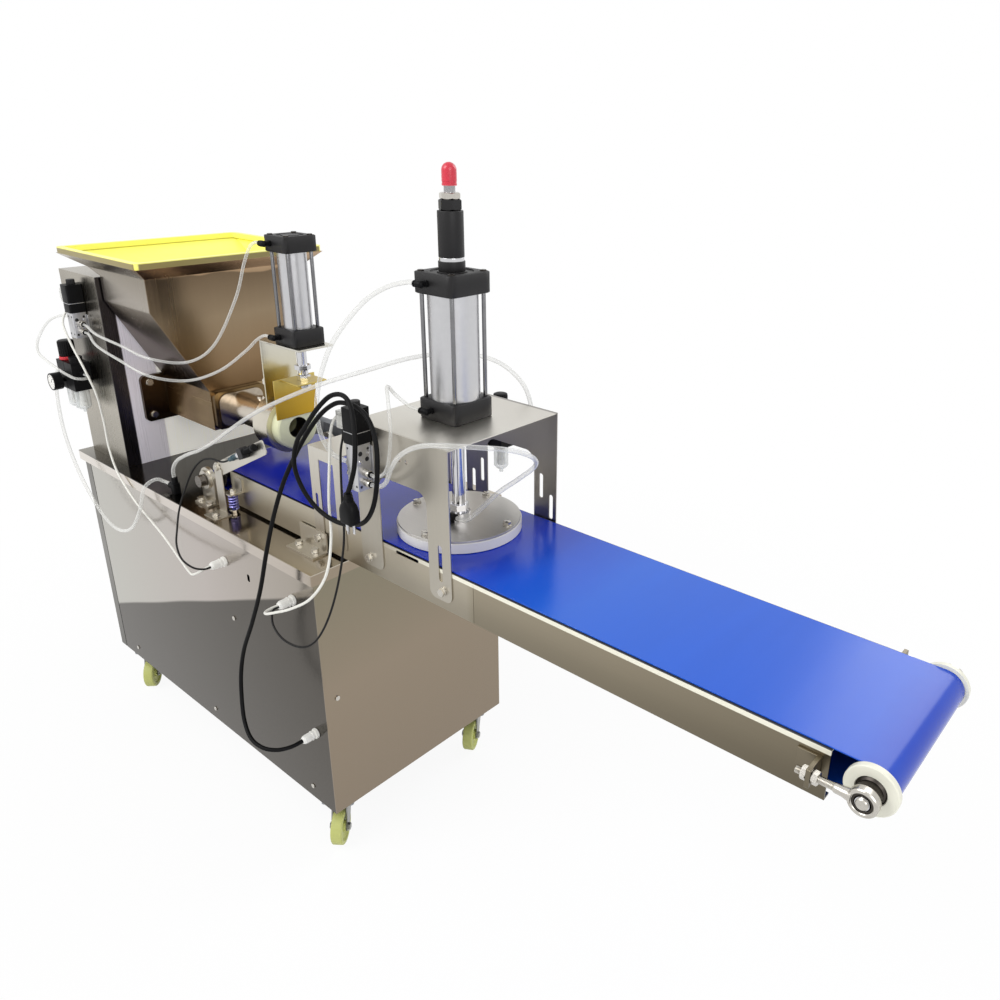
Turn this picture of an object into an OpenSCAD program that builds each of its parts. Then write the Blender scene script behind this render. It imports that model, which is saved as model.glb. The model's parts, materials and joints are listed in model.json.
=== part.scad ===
// Dough divider: a hopper and twin augers push dough through a nozzle, a blade cuts it,
// a belt carries the pieces and an air cylinder presses each one flat.
// All lengths are in millimetres. Inside the modules X runs along the belt from the
// cabinet's front face (x = 0), Y runs across it from the near wall (y = 0), Z from the floor.

/* [Cabinet] */
// Length of the cabinet along the belt
cab_l = 925; // [700:5:1200]
// Width of the cabinet across the belt
cab_w = 480; // [440:5:600]
// Height of the cabinet below the tray's lip
cab_h = 535; // [400:5:700]
// Sheet of the cabinet and its door
cab_t = 1.5; // [1:0.1:2]
// Depth of the rear door's pan
door_d = 27; // [20:1:40]
// Seam between the cabinet and the door
door_gap = 3; // [2:0.5:5]
// How far the tray's lip stands out from the cabinet
tray_over = 8; // [6:0.5:14]
// Height of the tray's lip
tray_h = 23; // [16:1:40]
// Sheet of the tray
tray_t = 2; // [1.5:0.1:3]
// Distance of the outer cover screws from the cabinet's ends
screw_in = 75; // [50:1:110]
// Radius of the cable glands
gland_r = 9; // [7:0.5:11]
// Length of the cable glands
gland_l = 34; // [24:1:44]
// Length of the control box inside
cbox_l = 320; // [200:5:400]
// Height of the control box inside
cbox_h = 260; // [150:5:340]
// Depth of the control box inside
cbox_d = 110; // [80:5:140]

/* [Casters] */
// Height of a caster with its plate
caster_h = 105; // [100:1:125]
// Radius of a wheel
wheel_r = 37.5; // [30:0.5:40]
// Width of a wheel
wheel_w = 24; // [18:1:28]
// Trail of a wheel behind its swivel axis
trail = 25; // [18:1:30]
// Distance of the swivel axes from the cabinet's walls
caster_in = 45; // [42:1:70]
// Radius of a wheel's axle
axle_r = 4; // [3:0.25:5]
// Side of a caster's square plate
caster_pl = 68; // [60:1:76]

/* [Column] */
// Distance of the column's front from the cabinet's front
col_at = 755; // [740:5:790]
// Length of the column along the belt
col_l = 187; // [180:1:200]
// Width of the column
col_w = 420; // [360:5:440]
// Distance of the column's near wall from the cabinet's near wall
col_in = 20; // [10:1:30]
// Height of the column above the tray
col_h = 442; // [430:1:443]
// Sheet of the column
col_t = 2; // [1.5:0.1:3]

/* [Feed] */
// Distance of the working line from the cabinet's near wall
line_in = 198; // [190:1:206]
// Height of the nozzle's axis above the tray
feed_up = 158; // [150:1:170]
// Length of the auger housing
feed_l = 215; // [205:1:225]
// Wall beside the augers
feed_wall = 8; // [6:0.5:12]
// Distance between the two auger axes
auger_cc = 58; // [56:1:62]
// Radius of an auger
auger_r = 26; // [24:0.5:27]
// Running gap around an auger
auger_gap = 2; // [1:0.25:3]
// Pitch of the auger's flight
auger_pitch = 48; // [36:1:60]
// Radius of the auger shafts
shaft_r = 9; // [7:0.5:10]
// Length of the throat under the hopper
throat_l = 180; // [150:1:190]
// Half width of the mounting flange
flange_w = 122; // [115:1:130]
// Thickness of the mounting flange
flange_t = 10; // [8:0.5:12]
// Teeth of the two auger gears
gear_z = 20; // [16:2:24]
// Width of the gears
gear_w = 14; // [10:1:18]

/* [Outlet] */
// Thickness of the outlet's end plate
end_t = 12; // [8:1:16]
// Width of the outlet's end plate
end_w = 126; // [122:1:134]
// Height of the outlet's end plate
end_h = 86; // [80:1:90]
// Length of the pipe
pipe_l = 143; // [120:1:150]
// Outer radius of the pipe
pipe_r = 36; // [34:0.5:40]
// Bore radius of the pipe
pipe_bore = 27; // [22:0.5:27]
// Outer radius of the nozzle ring
ring_r = 60; // [55:1:64]
// Length of the nozzle ring
ring_l = 52; // [46:1:60]
// Radius of the nozzle insert
insert_r = 48; // [42:1:51]
// How far the insert stands out of the ring
insert_out = 25; // [20:1:30]
// Radius of the nozzle's hole
nozzle_r = 22; // [12:0.5:22]

/* [Hopper] */
// Height of the hopper from the housing to its rim
hop_h = 294; // [280:1:310]
// Length of the hopper's box above the housing
hop_l = 209; // [200:1:212]
// Half width of the hopper's band on the near side
hop_near = 168; // [150:1:168]
// Half width of the hopper's band on the far side
hop_far = 215; // [180:1:225]
// Height at which the sides become upright
hop_band = 189; // [170:1:200]
// Height at which the rim flare starts
hop_flare = 257; // [254:1:262]
// How far the flare reaches out
hop_out = 27; // [15:1:27]
// How far the hopper's ledge reaches back over the column
hop_back = 145; // [120:1:150]
// Height of the yellow rim
rim_h = 13; // [8:1:20]
// Width of the yellow rim
rim_w = 13; // [8:0.5:18]
// Sheet of the hopper
hop_t = 2; // [1.5:0.1:2.5]
// Thickness of the hopper's liner
liner_t = 2.2; // [1.5:0.1:3]

/* [Cutter] */
// Distance of the cutter's axis behind the cabinet's front
cut_at = 270; // [266:1:280]
// Height of the cutter's shelf above the tray
shelf_up = 346; // [340:1:352]
// Width of the cutter's bracket
shelf_w = 80; // [74:1:90]
// Thickness of the cutter's bracket
shelf_t = 4; // [3:0.5:6]
// Side of the cutter's cylinder caps
cut_cap = 72; // [64:1:76]
// Length of the cutter's cylinder between its outer faces
cut_len = 213; // [190:1:230]
// Bore radius of the cutter's cylinder
cut_bore = 25; // [20:0.5:27]
// Radius of the cutter's rod
cut_rod = 10; // [8:0.5:12]
// Stroke of the cutter
cut_stroke = 60; // [40:1:80]
// Width of the blade
blade_w = 98; // [80:1:110]
// Height of the blade
blade_h = 85; // [75:1:86]
// Sheet of the blade
blade_t = 3; // [2:0.25:4]
// Gap between the blade and the nozzle
blade_gap = 0.6; // [0.3:0.1:2]
// How far the blade's lower edge stops above the nozzle's hole
blade_over = 5; // [2:1:10]

/* [Conveyor] */
// Distance of the rails' ends behind the cabinet's front
conv_back = 375; // [365:1:385]
// How far the rails reach beyond the cabinet's front
conv_out = 943; // [700:5:1100]
// Distance from the belt's edge to the rail's outer face on each side
belt_side = 4; // [1:0.5:5]
// Sheet of the conveyor's frame
conv_t = 2.5; // [2:0.1:3]
// Height of the belt's top above the tray
belt_up = 82; // [80:1:86]
// Thickness of the belt
belt_t = 2; // [1.5:0.1:3]
// Width of the belt
belt_w = 252; // [230:1:252]
// Radius of the two rollers
roller_r = 25.7; // [22:0.1:26]
// Height of the rails
rail_h = 73.7; // [66:0.1:75]
// Distance of each roller's axis beyond the rails
roller_out = 52; // [48:1:60]
// Radius of the white end discs of the tail roller
disc_r = 33; // [30:0.5:36]
// Radius of the drive shaft
drive_r = 10; // [8:0.5:11]
// Radius of the tail axle
tail_r = 8; // [6:0.5:9]
// Free radius of the foot springs
spring_r = 9; // [8.5:0.5:10]
// Turns of a foot spring
spring_n = 5; // [4:1:6]

/* [Press] */
// Distance of the press axis beyond the cabinet's front
press_at = 182; // [175:1:190]
// Start of the gantry beyond the cabinet's front
gan_at = 67; // [50:1:67]
// Length of the gantry along the belt
gan_l = 232; // [228:1:260]
// Height of the gantry's top above the tray
gan_up = 292; // [280:1:310]
// Sheet of the gantry and the guide portal
gan_t = 2; // [1.5:0.1:2]
// Width of a gantry's leg
gan_leg = 58; // [48:1:60]
// Height of the windows in the gantry's sides above the tray
gan_win = 206; // [195:1:215]
// Start of the guide portal before the cabinet's front
por_at = 75; // [70:1:80]
// Length of the guide portal along the belt
por_l = 95; // [85:1:110]
// Height of the guide portal above the tray
por_up = 212; // [200:1:225]
// Side of the press cylinder's caps
pr_cap = 90; // [84:1:96]
// Length of the press cylinder between its outer faces
pr_len = 247; // [230:1:270]
// Bore radius of the press cylinder
pr_bore = 40; // [36:0.5:40]
// Radius of the press rod
pr_rod = 12.5; // [10:0.5:14]
// Radius of the tail rod
pr_tail = 9; // [7:0.5:10]
// Stroke of the press
pr_stroke = 75; // [40:1:90]
// Radius of the press plate
plate_r = 110; // [90:1:112]
// Thickness of the press plate
plate_t = 4; // [3:0.5:6]
// Radius of the press pad
pad_r = 112; // [92:1:114]
// Thickness of the press pad
pad_t = 18; // [12:1:24]
// Length of the stop sleeve on the cylinder
sleeve_l = 72; // [60:1:90]

/* [Sensor] */
// Height of the sensor's pivot above the tray
piv_up = 98; // [92:1:105]
// Distance of the sensor's pivot behind the cabinet's front
piv_at = 366; // [363:1:369]
// Length of the sensor's arm
arm_l = 212; // [190:1:220]
// Tilt of the sensor's arm
arm_tilt = 27; // [22:1:32]
// Radius of the sensor's barrel
sens_r = 7; // [5:0.5:8]

/* [Air] */
// Side of the air preparation modules
mod_w = 40; // [34:1:42]
// Radius of the clear bowls
bowl_r = 16; // [13:0.5:18]
// Radius of the pressure gauge
gauge_r = 20; // [16:0.5:21]
// Height of a valve's body
valve_h = 83; // [70:1:90]
// Height of the valve's body on the column
valve_low = 57; // [52:1:62]
// Height of a valve's coil
coil_h = 62; // [50:1:70]

/* [View] */
// Sub-part to draw

/* [Hidden] */
$fn = 64;
touch = 0.3;
run = 0.05;
hole = 0.2;
door_out = cab_l + door_gap + door_d;
tz = caster_h + cab_h + tray_h;
shell_top = tz - tray_t;
near_x = [-screw_in, -cab_l / 2, screw_in - cab_l];
screw_r = 2;
screw_z = caster_h + 30;
door_y = [25, cab_w - 25];
door_z = [caster_h + 40, caster_h + cab_h - 40];
gland_at = [[-314, 473], [-70, 477], [-40, 184]];
casters = [[-caster_in, caster_in], [caster_in - cab_l, caster_in],
  [-caster_in, cab_w - caster_in], [caster_in - cab_l, cab_w - caster_in]];
heads = [-52, -44, -60, -48];

ly = line_in;
cx1 = -col_at;
cx0 = cx1 - col_l;
cy0 = col_in;
cy1 = col_in + col_w;
az = tz + feed_up;
chamber = auger_r + auger_gap;
half_w = auger_cc / 2 + chamber + feed_wall;
half_h = 45;
fx0 = -col_at;
fx1 = fx0 + feed_l;
fl_zc = az - 3;
fl_h = 55;
fl_bolt = 39;
notch = 10;
ex1 = fx1 + end_t;
px1 = ex1 + pipe_l;
rx1 = px1 + ring_l;
nx1 = rx1 + insert_out;
ring_wall = 10;

hz0 = az + half_h;
hz1 = hz0 + hop_band;
hz2 = hz0 + hop_flare;
hz3 = hz0 + hop_h - rim_h;
hz4 = hz0 + hop_h;
hx1 = fx1 - 1;
hx0 = hx1 - hop_l;
ledge = 15;
rim_r = 15;

bz_x = -cut_at;
shz = tz + shelf_up;
cut_c1 = 33;
cut_c2 = 31;
blade_z0 = az + nozzle_r + blade_over;
blade_z1 = blade_z0 + blade_h;
blade_x0 = nx1 + blade_gap;
tie_r = 4.5;

conv_w = belt_w + 2 * belt_side;
vy0 = ly - conv_w / 2;
vy1 = ly + conv_w / 2;
deck_z = tz + belt_up - belt_t - touch;
rail_z = deck_z - rail_h;
br = roller_r + touch;
bz = tz + belt_up - belt_t - br;
dx = -conv_back - roller_out;
tx = conv_out + roller_out;
seam_x = 347;
rail_slot = [162, 214];
stand_t = 8;
eye_y = 25;
eye_w = 12;
disc_w = 9;

gx0 = gan_at;
gx1 = gan_at + gan_l;
gz = tz + gan_up;
gy0 = vy0 - gan_t;
gy1 = vy1 + gan_t;
leg_z = tz + 22;
pz = tz + por_up;
pc1 = 35;
pc2 = 35;
plz = tz + belt_up + 1;
dz0 = plz + pad_t;
dz1 = dz0 + plate_t;
slz = gz + pr_len;
sl1 = slz + 22;
sl2 = sl1 + sleeve_l;
bolt_ring = 97;
bolt_a = [15, 105, 190, 280];

bolt_r = 4;
bolt_h = 5.3;
wash = 1.5;
foot_t = 4;
foot_x = [-125, -40];
foot_w = 36;
side_bolts = [[-63, 28], [88, 38], [278, 40]];
tray_bolts = [[-112, 18], [-60, 18]];
stand_bolts = [-18, 18];
spr_x = -343;
spr_y = 18;
spr_z = tz + 42;
spr_wire = 1.8;
post_y = vy0 - 31;

reg_x = cx0 + 37;
lub_x = reg_x + mod_w + 1;
mod_y = cy0 - 30;
mod_z = tz + 177;
mod_h = 65;
gr_x = 141;
gr_y = gy1 + 20;
gr_z = tz + 187;

// Routes of the tubes and cables, from the tray's top, by hand
tube_1 = [[-813, 3, 333], [-795, 3, 331], [-740, -2, 322], [-640, 5, 312], [-560, 22, 296],
  [-505, 75, 288], [-440, 105, 330], [-370, 125, 430], [-345, 138, 500], [-330, 146, 534],
  [-314, 149.1, 544], [-299, 149.1, 544]];
tube_2 = [[-813, 3, 315], [-795, 3, 313], [-740, -6, 298], [-650, 0, 280], [-570, 22, 256],
  [-515, 75, 246], [-430, 105, 278], [-365, 130, 325], [-340, 143, 350], [-318, 149.1, 362],
  [-299, 149.1, 362]];
tube_3 = [[-873, 3, 341], [-892, 2, 341], [-930, -4, 337], [-966, -14, 322], [-986, -26, 298],
  [-982, -42, 274], [-948, -56, 258], [-905, -60, 250], [-862, -60, 243], [-832, -55, 233],
  [-809, -48, 225], [-796, -42, 221], [-790, -29, 218.5], [-796, -16, 217], [-809, -10, 217],
  [-830, -10, 217]];
tube_4 = [[-939, -10, 217], [-958, -10, 217], [-985, -14, 190], [-990, -22, 130], [-965, -30, 40],
  [-905, -34, -50], [-820, -36, -115], [-735, -38, -133], [-660, -36, -108], [-612, -30, -50],
  [-600, -18, 2], [-588, 4, 20], [-570, 18, 15], [-550, 19, 14]];
tube_5 = [[-528, 19, 38], [-526, 19.5, 58], [-508, 22, 80], [-470, 26, 102], [-420, 31, 124],
  [-366, 38, 154], [-311, 45, 190], [-208, 60, 252], [-70, 90, 318], [12, 140, 352], [62, 215, 372],
  [110, 282, 374], [160, 320, 362], [197, 346, 326], [212, 356, 282], [210, 354, 236],
  [196, 350.5, 211], [173, 350, 205]];
tube_6 = [[155, 140.1, 522], [138, 140, 522], [90, 134, 508], [46, 118, 478], [10, 85, 420],
  [-3, 62, 365], [-10, 50, 305], [0, 46, 255], [25, 48, 226], [50, 49, 221], [70, 49, 221]];
tube_7 = [[130, 49, 213], [148, 49, 214], [172, 50, 236], [176, 58, 290], [150, 78, 338],
  [112, 108, 350], [104, 130, 330], [125, 139, 313], [140, 140, 310], [155, 140.1, 310]];
hose = [[130, 49, 195], [152, 49, 198], [178, 42, 216], [200, 36, 246], [226, 34, 276], [262, 40, 298],
  [304, 56, 306], [340, 92, 302], [364, 138, 291], [372, 180, 270], [356, 206, 243], [322, 206, 212],
  [288, 192, 182], [260, 175, 148], [238, 165, 124], [222, 165, 118], [210.4, 165, 118]];
cable_1 = [[-871, 2, 376], [-871, -4, 362], [-862, -22, 335], [-830, -26, 295], [-785, -24, 240],
  [-772, -14, 180], [-782, -6, 110], [-775, -8, 50], [-735, -14, 0], [-660, -16, -50], [-540, -22, -88],
  [-430, -40, -106], [-372, -52, -108], [-340, -58, -102], [-321, -50, -90], [-317, -34, -85]];
cable_2 = [[-67, -34, -81], [-66, -48, -84], [-48, -60, -101], [-14, -62, -116], [24, -52, -120],
  [54, -40, -100], [76, -24, -52], [86, -4, 14], [85, 16, 90], [81, 22, 170], [76, 30, 240],
  [71, 41, 268], [70, 44, 282]];
cable_3 = [[60, 48, 300], [51, 48, 299], [43, 45, 290], [38, 40, 268], [37, 34, 220], [42, 22, 150],
  [56, 10, 85], [58, -8, 22], [34, -28, -26], [-4, -46, -54], [-36, -62, -68], [-56, -67, -76],
  [-69, -60, -80], [-73, -47, -81], [-73, -34, -81]];
cable_4 = [[-311, -34, -85], [-311, -50, -83], [-322, -66, -76], [-350, -72, -64], [-385, -62, -48],
  [-412, -44, -28], [-428, -26, 5], [-427, -8, 45], [-412, 6, 86], [-390, 17, 112], [-362, 24, 122],
  [-332, 29, 122], [-314, 30.3, 127], [-298, 30.3, 135]];
lead = [[-40, -34, -374], [-42, -58, -374], [-54, -82, -373], [-78, -98, -370], [-110, -102, -362],
  [-142, -94, -342], [-164, -82, -306], [-172, -72, -256], [-162, -64, -200], [-130, -57, -130],
  [-97, -50, -50], [-77, -40, 30], [-63, -26, 100], [-46, -10, 165], [-22, 6, 222], [10, 17, 272],
  [42, 24, 308], [74, 29, 330], [100, 31, 336], [127, 32, 335], [156, 31, 322], [181, 24, 292],
  [193, 14, 246], [190, 7, 196], [168, 6, 158], [132, 8, 136], [84, 5, 128], [40, 0, 140], [8, -5, 170],
  [-6, -8, 212], [6, -6, 256], [30, 0, 290], [54, 8, 322], [78, 18, 346], [104, 23, 352],
  [130, 18, 342], [151, 7, 316], [162, -2, 284], [164, -8, 252], [158, -12, 226], [150, -14, 206]];
lead_len = [for (i = [0:len(lead) - 2]) norm(lead[i + 1] - lead[i])];

// Box between two corners
module bx(x0, x1, y0, y1, z0, z1) {
  translate([x0, y0, z0]) cube([x1 - x0, y1 - y0, z1 - z0]);
}

// Cylinder along X
module cyx(r, x0, x1, y, z) {
  translate([x0, y, z]) rotate([0, 90, 0]) cylinder(r = r, h = x1 - x0);
}

// Cylinder along Y
module cyy(r, y0, y1, x, z) {
  translate([x, y0, z]) rotate([-90, 0, 0]) cylinder(r = r, h = y1 - y0);
}

// Cylinder along Z
module cyz(r, z0, z1, x, y) {
  translate([x, y, z0]) cylinder(r = r, h = z1 - z0);
}

// Hexagonal prism along Z, size across flats
module hexz(af, z0, z1, x, y) {
  translate([x, y, z0]) cylinder(r = af / 2 / cos(30), h = z1 - z0, $fn = 6);
}

// Rounded rectangle from its lower left corner
module rrect(w, h, r) {
  translate([r, 0]) square([w - 2 * r, h]);
  translate([0, r]) square([w, h - 2 * r]);
  for (i = [r, w - r]) for (j = [r, h - r]) translate([i, j]) circle(r = r);
}

// Outline in the YZ plane, drawn from x0 to x1
module yz(x0, x1) {
  translate([x0, 0, 0]) rotate([90, 0, 90]) linear_extrude(x1 - x0) children();
}

// Outline in the XZ plane, drawn from y0 to y1
module xz(y0, y1) {
  translate([0, y1, 0]) rotate([90, 0, 0]) linear_extrude(y1 - y0) children();
}

// Copies on the near side and, mirrored about the working line, on the far side
module both() {
  children();
  translate([0, 2 * ly, 0]) mirror([0, 1, 0]) children();
}

// Round bar between two points
module bar(p, q, r) {
  v = q - p;
  translate(p) rotate([0, acos(v[2] / norm(v)), atan2(v[1], v[0])]) cylinder(r = r, h = norm(v));
}

// Elbow fitting: stands on p along a, opens along b
module elbow(p, a, b, r) {
  bar(p, p + a * 13, r * 0.8);
  translate(p + a * 13) sphere(r = r);
  bar(p + a * 13, p + a * 13 + b * 15, r);
}

// Place and heading of caster i
module at_casters(i) {
  translate([casters[i][0], casters[i][1], 0]) rotate([0, 0, heads[i]]) children();
}

module cabinet_shell() {
  color([0.74, 0.74, 0.73]) difference() {
    union() {
      difference() {
        bx(-cab_l, 0, 0, cab_w, caster_h, shell_top);
        bx(-cab_l - 1, -cab_t, cab_t, cab_w - cab_t, caster_h + cab_t, shell_top + 1);
      }
      difference() {
        bx(-cab_l - 17, -cab_l + 20, cab_t, cab_w - cab_t, caster_h + cab_t, caster_h + cab_h - 5);
        bx(-cab_l - 18, -cab_l + 21, cab_t + 2.5, cab_w - cab_t - 2.5,
          caster_h + cab_t + 2.5, caster_h + cab_h - 7.5);
        bx(-cab_l - 18, -cab_l, 0, cab_t + 0.5, caster_h, shell_top);
        bx(-cab_l - 18, -cab_l, cab_w - cab_t - 0.5, cab_w, caster_h, shell_top);
        bx(-cab_l - 18, -cab_l, 0, cab_w, caster_h, caster_h + cab_t + 0.5);
      }
      for (y = door_y) for (z = door_z)
        bx(-cab_l - 17, -cab_l - 14, y < ly ? cab_t + 2 : y - 13, y < ly ? y + 13 : cab_w - cab_t - 2,
          z - 12, z + 12);
    }
    for (x = near_x) for (y = [-1, cab_w - cab_t - 1])
      cyy(screw_r + hole, y, y + cab_t + 2, x, screw_z);
    cyy(screw_r + hole, -1, cab_t + 1, -311, caster_h + 338);
    cyx(screw_r + hole, -cab_t - 1, 1, 28, caster_h + 271);
    for (y = door_y) for (z = door_z) cyx(screw_r + hole, -cab_l - 18, -cab_l - 13, y, z);
    for (g = gland_at) cyy(gland_r - 1 + hole, -1, cab_t + 1, g[0], caster_h + g[1]);
    xz(-1, cab_t + 1) translate([-229, caster_h + 464]) {
      translate([-4.5, -4]) square([9, 8]);
      for (j = [-4, 4]) translate([0, j]) circle(r = 4.5);
    }
  }
}

module rear_door() {
  color([0.72, 0.72, 0.71]) difference() {
    bx(-door_out, -cab_l - door_gap, 0, cab_w, caster_h, caster_h + cab_h - 2);
    bx(-door_out + cab_t, 0, cab_t, cab_w - cab_t, caster_h + cab_t, caster_h + cab_h - 2 - cab_t);
    for (y = door_y) for (z = door_z) cyx(screw_r + hole, -door_out - 1, -door_out + cab_t + 1, y, z);
  }
}

module top_tray() {
  color([0.78, 0.77, 0.75]) difference() {
    bx(-door_out - tray_over, tray_over, -tray_over, cab_w + tray_over, tz - tray_h, tz);
    bx(-door_out - tray_over + tray_t, tray_over - tray_t, tray_t - tray_over,
      cab_w + tray_over - tray_t, tz - tray_h - 1, tz - tray_t);
    cyz(30, tz - tray_t - 1, tz + 1, (cx0 + cx1) / 2, ly);
    both() for (b = tray_bolts) cyz(bolt_r + hole, tz - tray_t - 1, tz + 1, b[0], vy0 - b[1]);
    both() cyz(bolt_r + hole, tz - tray_t - 1, tz + 1, spr_x, vy0 - spr_y);
    for (s = stand_bolts) cyz(bolt_r + hole, tz - tray_t - 1, tz + 1, dx + s, vy0 - 36);
    cyz(bolt_r + hole, tz - tray_t - 1, tz + 1, -354, vy0 - 54);
  }
}

module cabinet_screws() {
  color([0.6, 0.6, 0.6]) {
    for (x = near_x) {
      cyy(5, -2.5, 0, x, screw_z);
      cyy(screw_r, -0.1, 6, x, screw_z);
      cyy(5, cab_w, cab_w + 2.5, x, screw_z);
      cyy(screw_r, cab_w - 6, cab_w + 0.1, x, screw_z);
    }
    cyy(5, -2.5, 0, -311, caster_h + 338);
    cyy(screw_r, -0.1, 6, -311, caster_h + 338);
    cyx(5, 0, 2.5, 28, caster_h + 271);
    cyx(screw_r, -6, 0.1, 28, caster_h + 271);
    for (y = door_y) for (z = door_z) {
      cyx(5, -door_out - 2.5, -door_out, y, z);
      cyx(screw_r, -door_out - 0.1, -cab_l - 10, y, z);
    }
  }
}

module cable_glands() {
  color([0.86, 0.86, 0.84]) for (g = gland_at) {
    cyy(gland_r - 1, -5, 9, g[0], caster_h + g[1]);
    cyy(gland_r + 2, cab_t, cab_t + 5, g[0], caster_h + g[1]);
    translate([g[0], -7, caster_h + g[1]]) rotate([-90, 0, 0])
      cylinder(r = gland_r + 2, h = 7, $fn = 6);
    cyy(gland_r, -gland_l + 4, -6, g[0], caster_h + g[1]);
    translate([g[0], 4 - gland_l, caster_h + g[1]]) rotate([90, 0, 0])
      cylinder(r1 = gland_r, r2 = gland_r - 3, h = 4);
  }
}

module control_box() {
  color([0.8, 0.8, 0.78]) {
    bx(-160 - cbox_l, -160, cab_w - cab_t - cbox_d, cab_w - cab_t, caster_h + 120, caster_h + 120 + cbox_h);
    bx(-165 - cbox_l, -155, cab_w - cab_t - cbox_d - 12, cab_w - cab_t - cbox_d,
      caster_h + 115, caster_h + 125 + cbox_h);
  }
}

module caster_plates() {
  color([0.7, 0.7, 0.72]) for (i = [0:3]) at_casters(i) {
    translate([-caster_pl / 2, -caster_pl / 2, caster_h - 4]) linear_extrude(4)
      rrect(caster_pl, caster_pl, 6);
    cyz(23, caster_h - 9, caster_h - 3, 0, 0);
    cyz(5, caster_h - 24, caster_h - 8, 0, 0);
    cyz(9, caster_h - 24, caster_h - 18 - touch, 0, 0);
    for (a = [-1, 1]) for (b = [-1, 1])
      hexz(10, caster_h - 7, caster_h - 3, a * (caster_pl / 2 - 8), b * (caster_pl / 2 - 8));
  }
}

module caster_fork(i) {
  ins = wheel_w / 2 + 2;
  color([0.66, 0.67, 0.7]) at_casters(i) {
    difference() {
      union() {
        cyz(22, caster_h - 18, caster_h - 9 - touch, 0, 0);
        for (s = [-1, 1]) translate([0, s > 0 ? ins + 3 : -ins, 0]) rotate([90, 0, 0]) linear_extrude(3) {
          polygon([[-19, caster_h - 12], [19, caster_h - 12], [trail + 10, wheel_r], [trail - 10, wheel_r]]);
          translate([trail, wheel_r]) circle(r = 10);
        }
        bx(-19, 19, -ins - 3, ins + 3, caster_h - 18, caster_h - 12);
      }
      cyz(5 + run, caster_h - 30, caster_h, 0, 0);
    }
    cyy(axle_r, -ins - 6, ins + 6, trail, wheel_r);
    for (s = [-ins - 7.5, ins + 3]) translate([trail, s, wheel_r]) rotate([-90, 0, 0])
      cylinder(r = 7.5, h = 4.5, $fn = 6);
  }
}

module caster_wheel(i) {
  color([0.72, 0.78, 0.25]) at_casters(i) translate([trail, 0, wheel_r]) rotate([90, 0, 0])
    rotate_extrude() polygon([[axle_r + run, -wheel_w / 2 - 1], [12, -wheel_w / 2 - 1],
      [12, -wheel_w / 2 + 4], [wheel_r - 10, -wheel_w / 2 + 4], [wheel_r - 8, -wheel_w / 2],
      [wheel_r - 2, -wheel_w / 2], [wheel_r, -wheel_w / 2 + 2], [wheel_r, wheel_w / 2 - 2],
      [wheel_r - 2, wheel_w / 2], [wheel_r - 8, wheel_w / 2], [wheel_r - 10, wheel_w / 2 - 4],
      [12, wheel_w / 2 - 4], [12, wheel_w / 2 + 1], [axle_r + run, wheel_w / 2 + 1]]);
}

module column_shell() {
  color([0.72, 0.72, 0.72]) difference() {
    bx(cx0, cx1, cy0, cy1, tz, tz + col_h);
    bx(cx0 + col_t, cx1 - col_t, cy0 + col_t, cy1 - col_t, tz - 1, tz + col_h - col_t);
    bx(cx1 - 0.8, cx1 + 1, cy0 + 30, cy1 - 30, az + fl_h + 6, tz + col_h - 12);
    yz(cx1 - col_t - 1, cx1 + 1) translate([ly, az]) {
      translate([-auger_cc / 2, -shaft_r - 5]) square([auger_cc, 2 * shaft_r + 10]);
      for (s = [-1, 1]) translate([s * auger_cc / 2, 0]) circle(r = shaft_r + 5);
    }
  }
}

module gear_motors() {
  my = ly - auger_cc / 2;
  gw = cx1 - col_t;
  color([0.45, 0.47, 0.5]) {
    difference() {
      bx(gw - 138, gw - 43, my - 45, my + 45, az - 55, az + 55);
      cyx(shaft_r + run, gw - 86, gw, my, az);
    }
    bx(gw - 138, gw, my - 45, my + 45, az - 63, az - 55);
    cyz(42, az + 54, az + 220, gw - 91, my);
    difference() {
      bx(dx - 38, dx + 38, vy1 + 38, vy1 + 88, tz, bz + 40);
      cyy(drive_r + run, vy1 + 30, vy1 + 80, dx, bz);
    }
    cyx(33, dx - 188, dx - 37, vy1 + 63, bz);
  }
}

module feed_housing() {
  color([0.8, 0.8, 0.8]) difference() {
    union() {
      bx(fx0, fx1, ly - half_w, ly + half_w, az - half_h, az + half_h);
      yz(fx0, fx0 + flange_t) translate([ly - flange_w, fl_zc - fl_h]) rrect(2 * flange_w, 2 * fl_h, 12);
    }
    for (s = [-1, 1]) {
      cyx(chamber, fx0 + 12, fx1 + 1, ly + s * auger_cc / 2, az);
      cyx(shaft_r + run, fx0 - 1, fx0 + 13, ly + s * auger_cc / 2, az);
      for (b = [-1, 1]) cyx(bolt_r + hole, fx0 - 1, fx0 + flange_t + 1, ly + s * (flange_w - 19), fl_zc + b * fl_bolt);
    }
    bx(fx0 + 12, fx1 + 1, ly - auger_cc / 2, ly + auger_cc / 2, az - chamber, az + chamber);
    bx(fx1 - 15 - throat_l, fx1 - 15, ly - auger_cc / 2 - chamber, ly + auger_cc / 2 + chamber, az, az + half_h + 1);
    bx(hx0 - touch, fx0 + flange_t + 1, ly - half_w - notch, ly + half_w + notch, hz0, fl_zc + fl_h + 1);
  }
}

// Angle of an involute
function inv(a) = tan(a) - a * PI / 180;

// Half angle of a gear tooth at radius r
function tooth(r, p) = 90 / gear_z + (inv(20) - inv(acos(min(1, p * cos(20) / r)))) * 180 / PI - 0.35;

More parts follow.
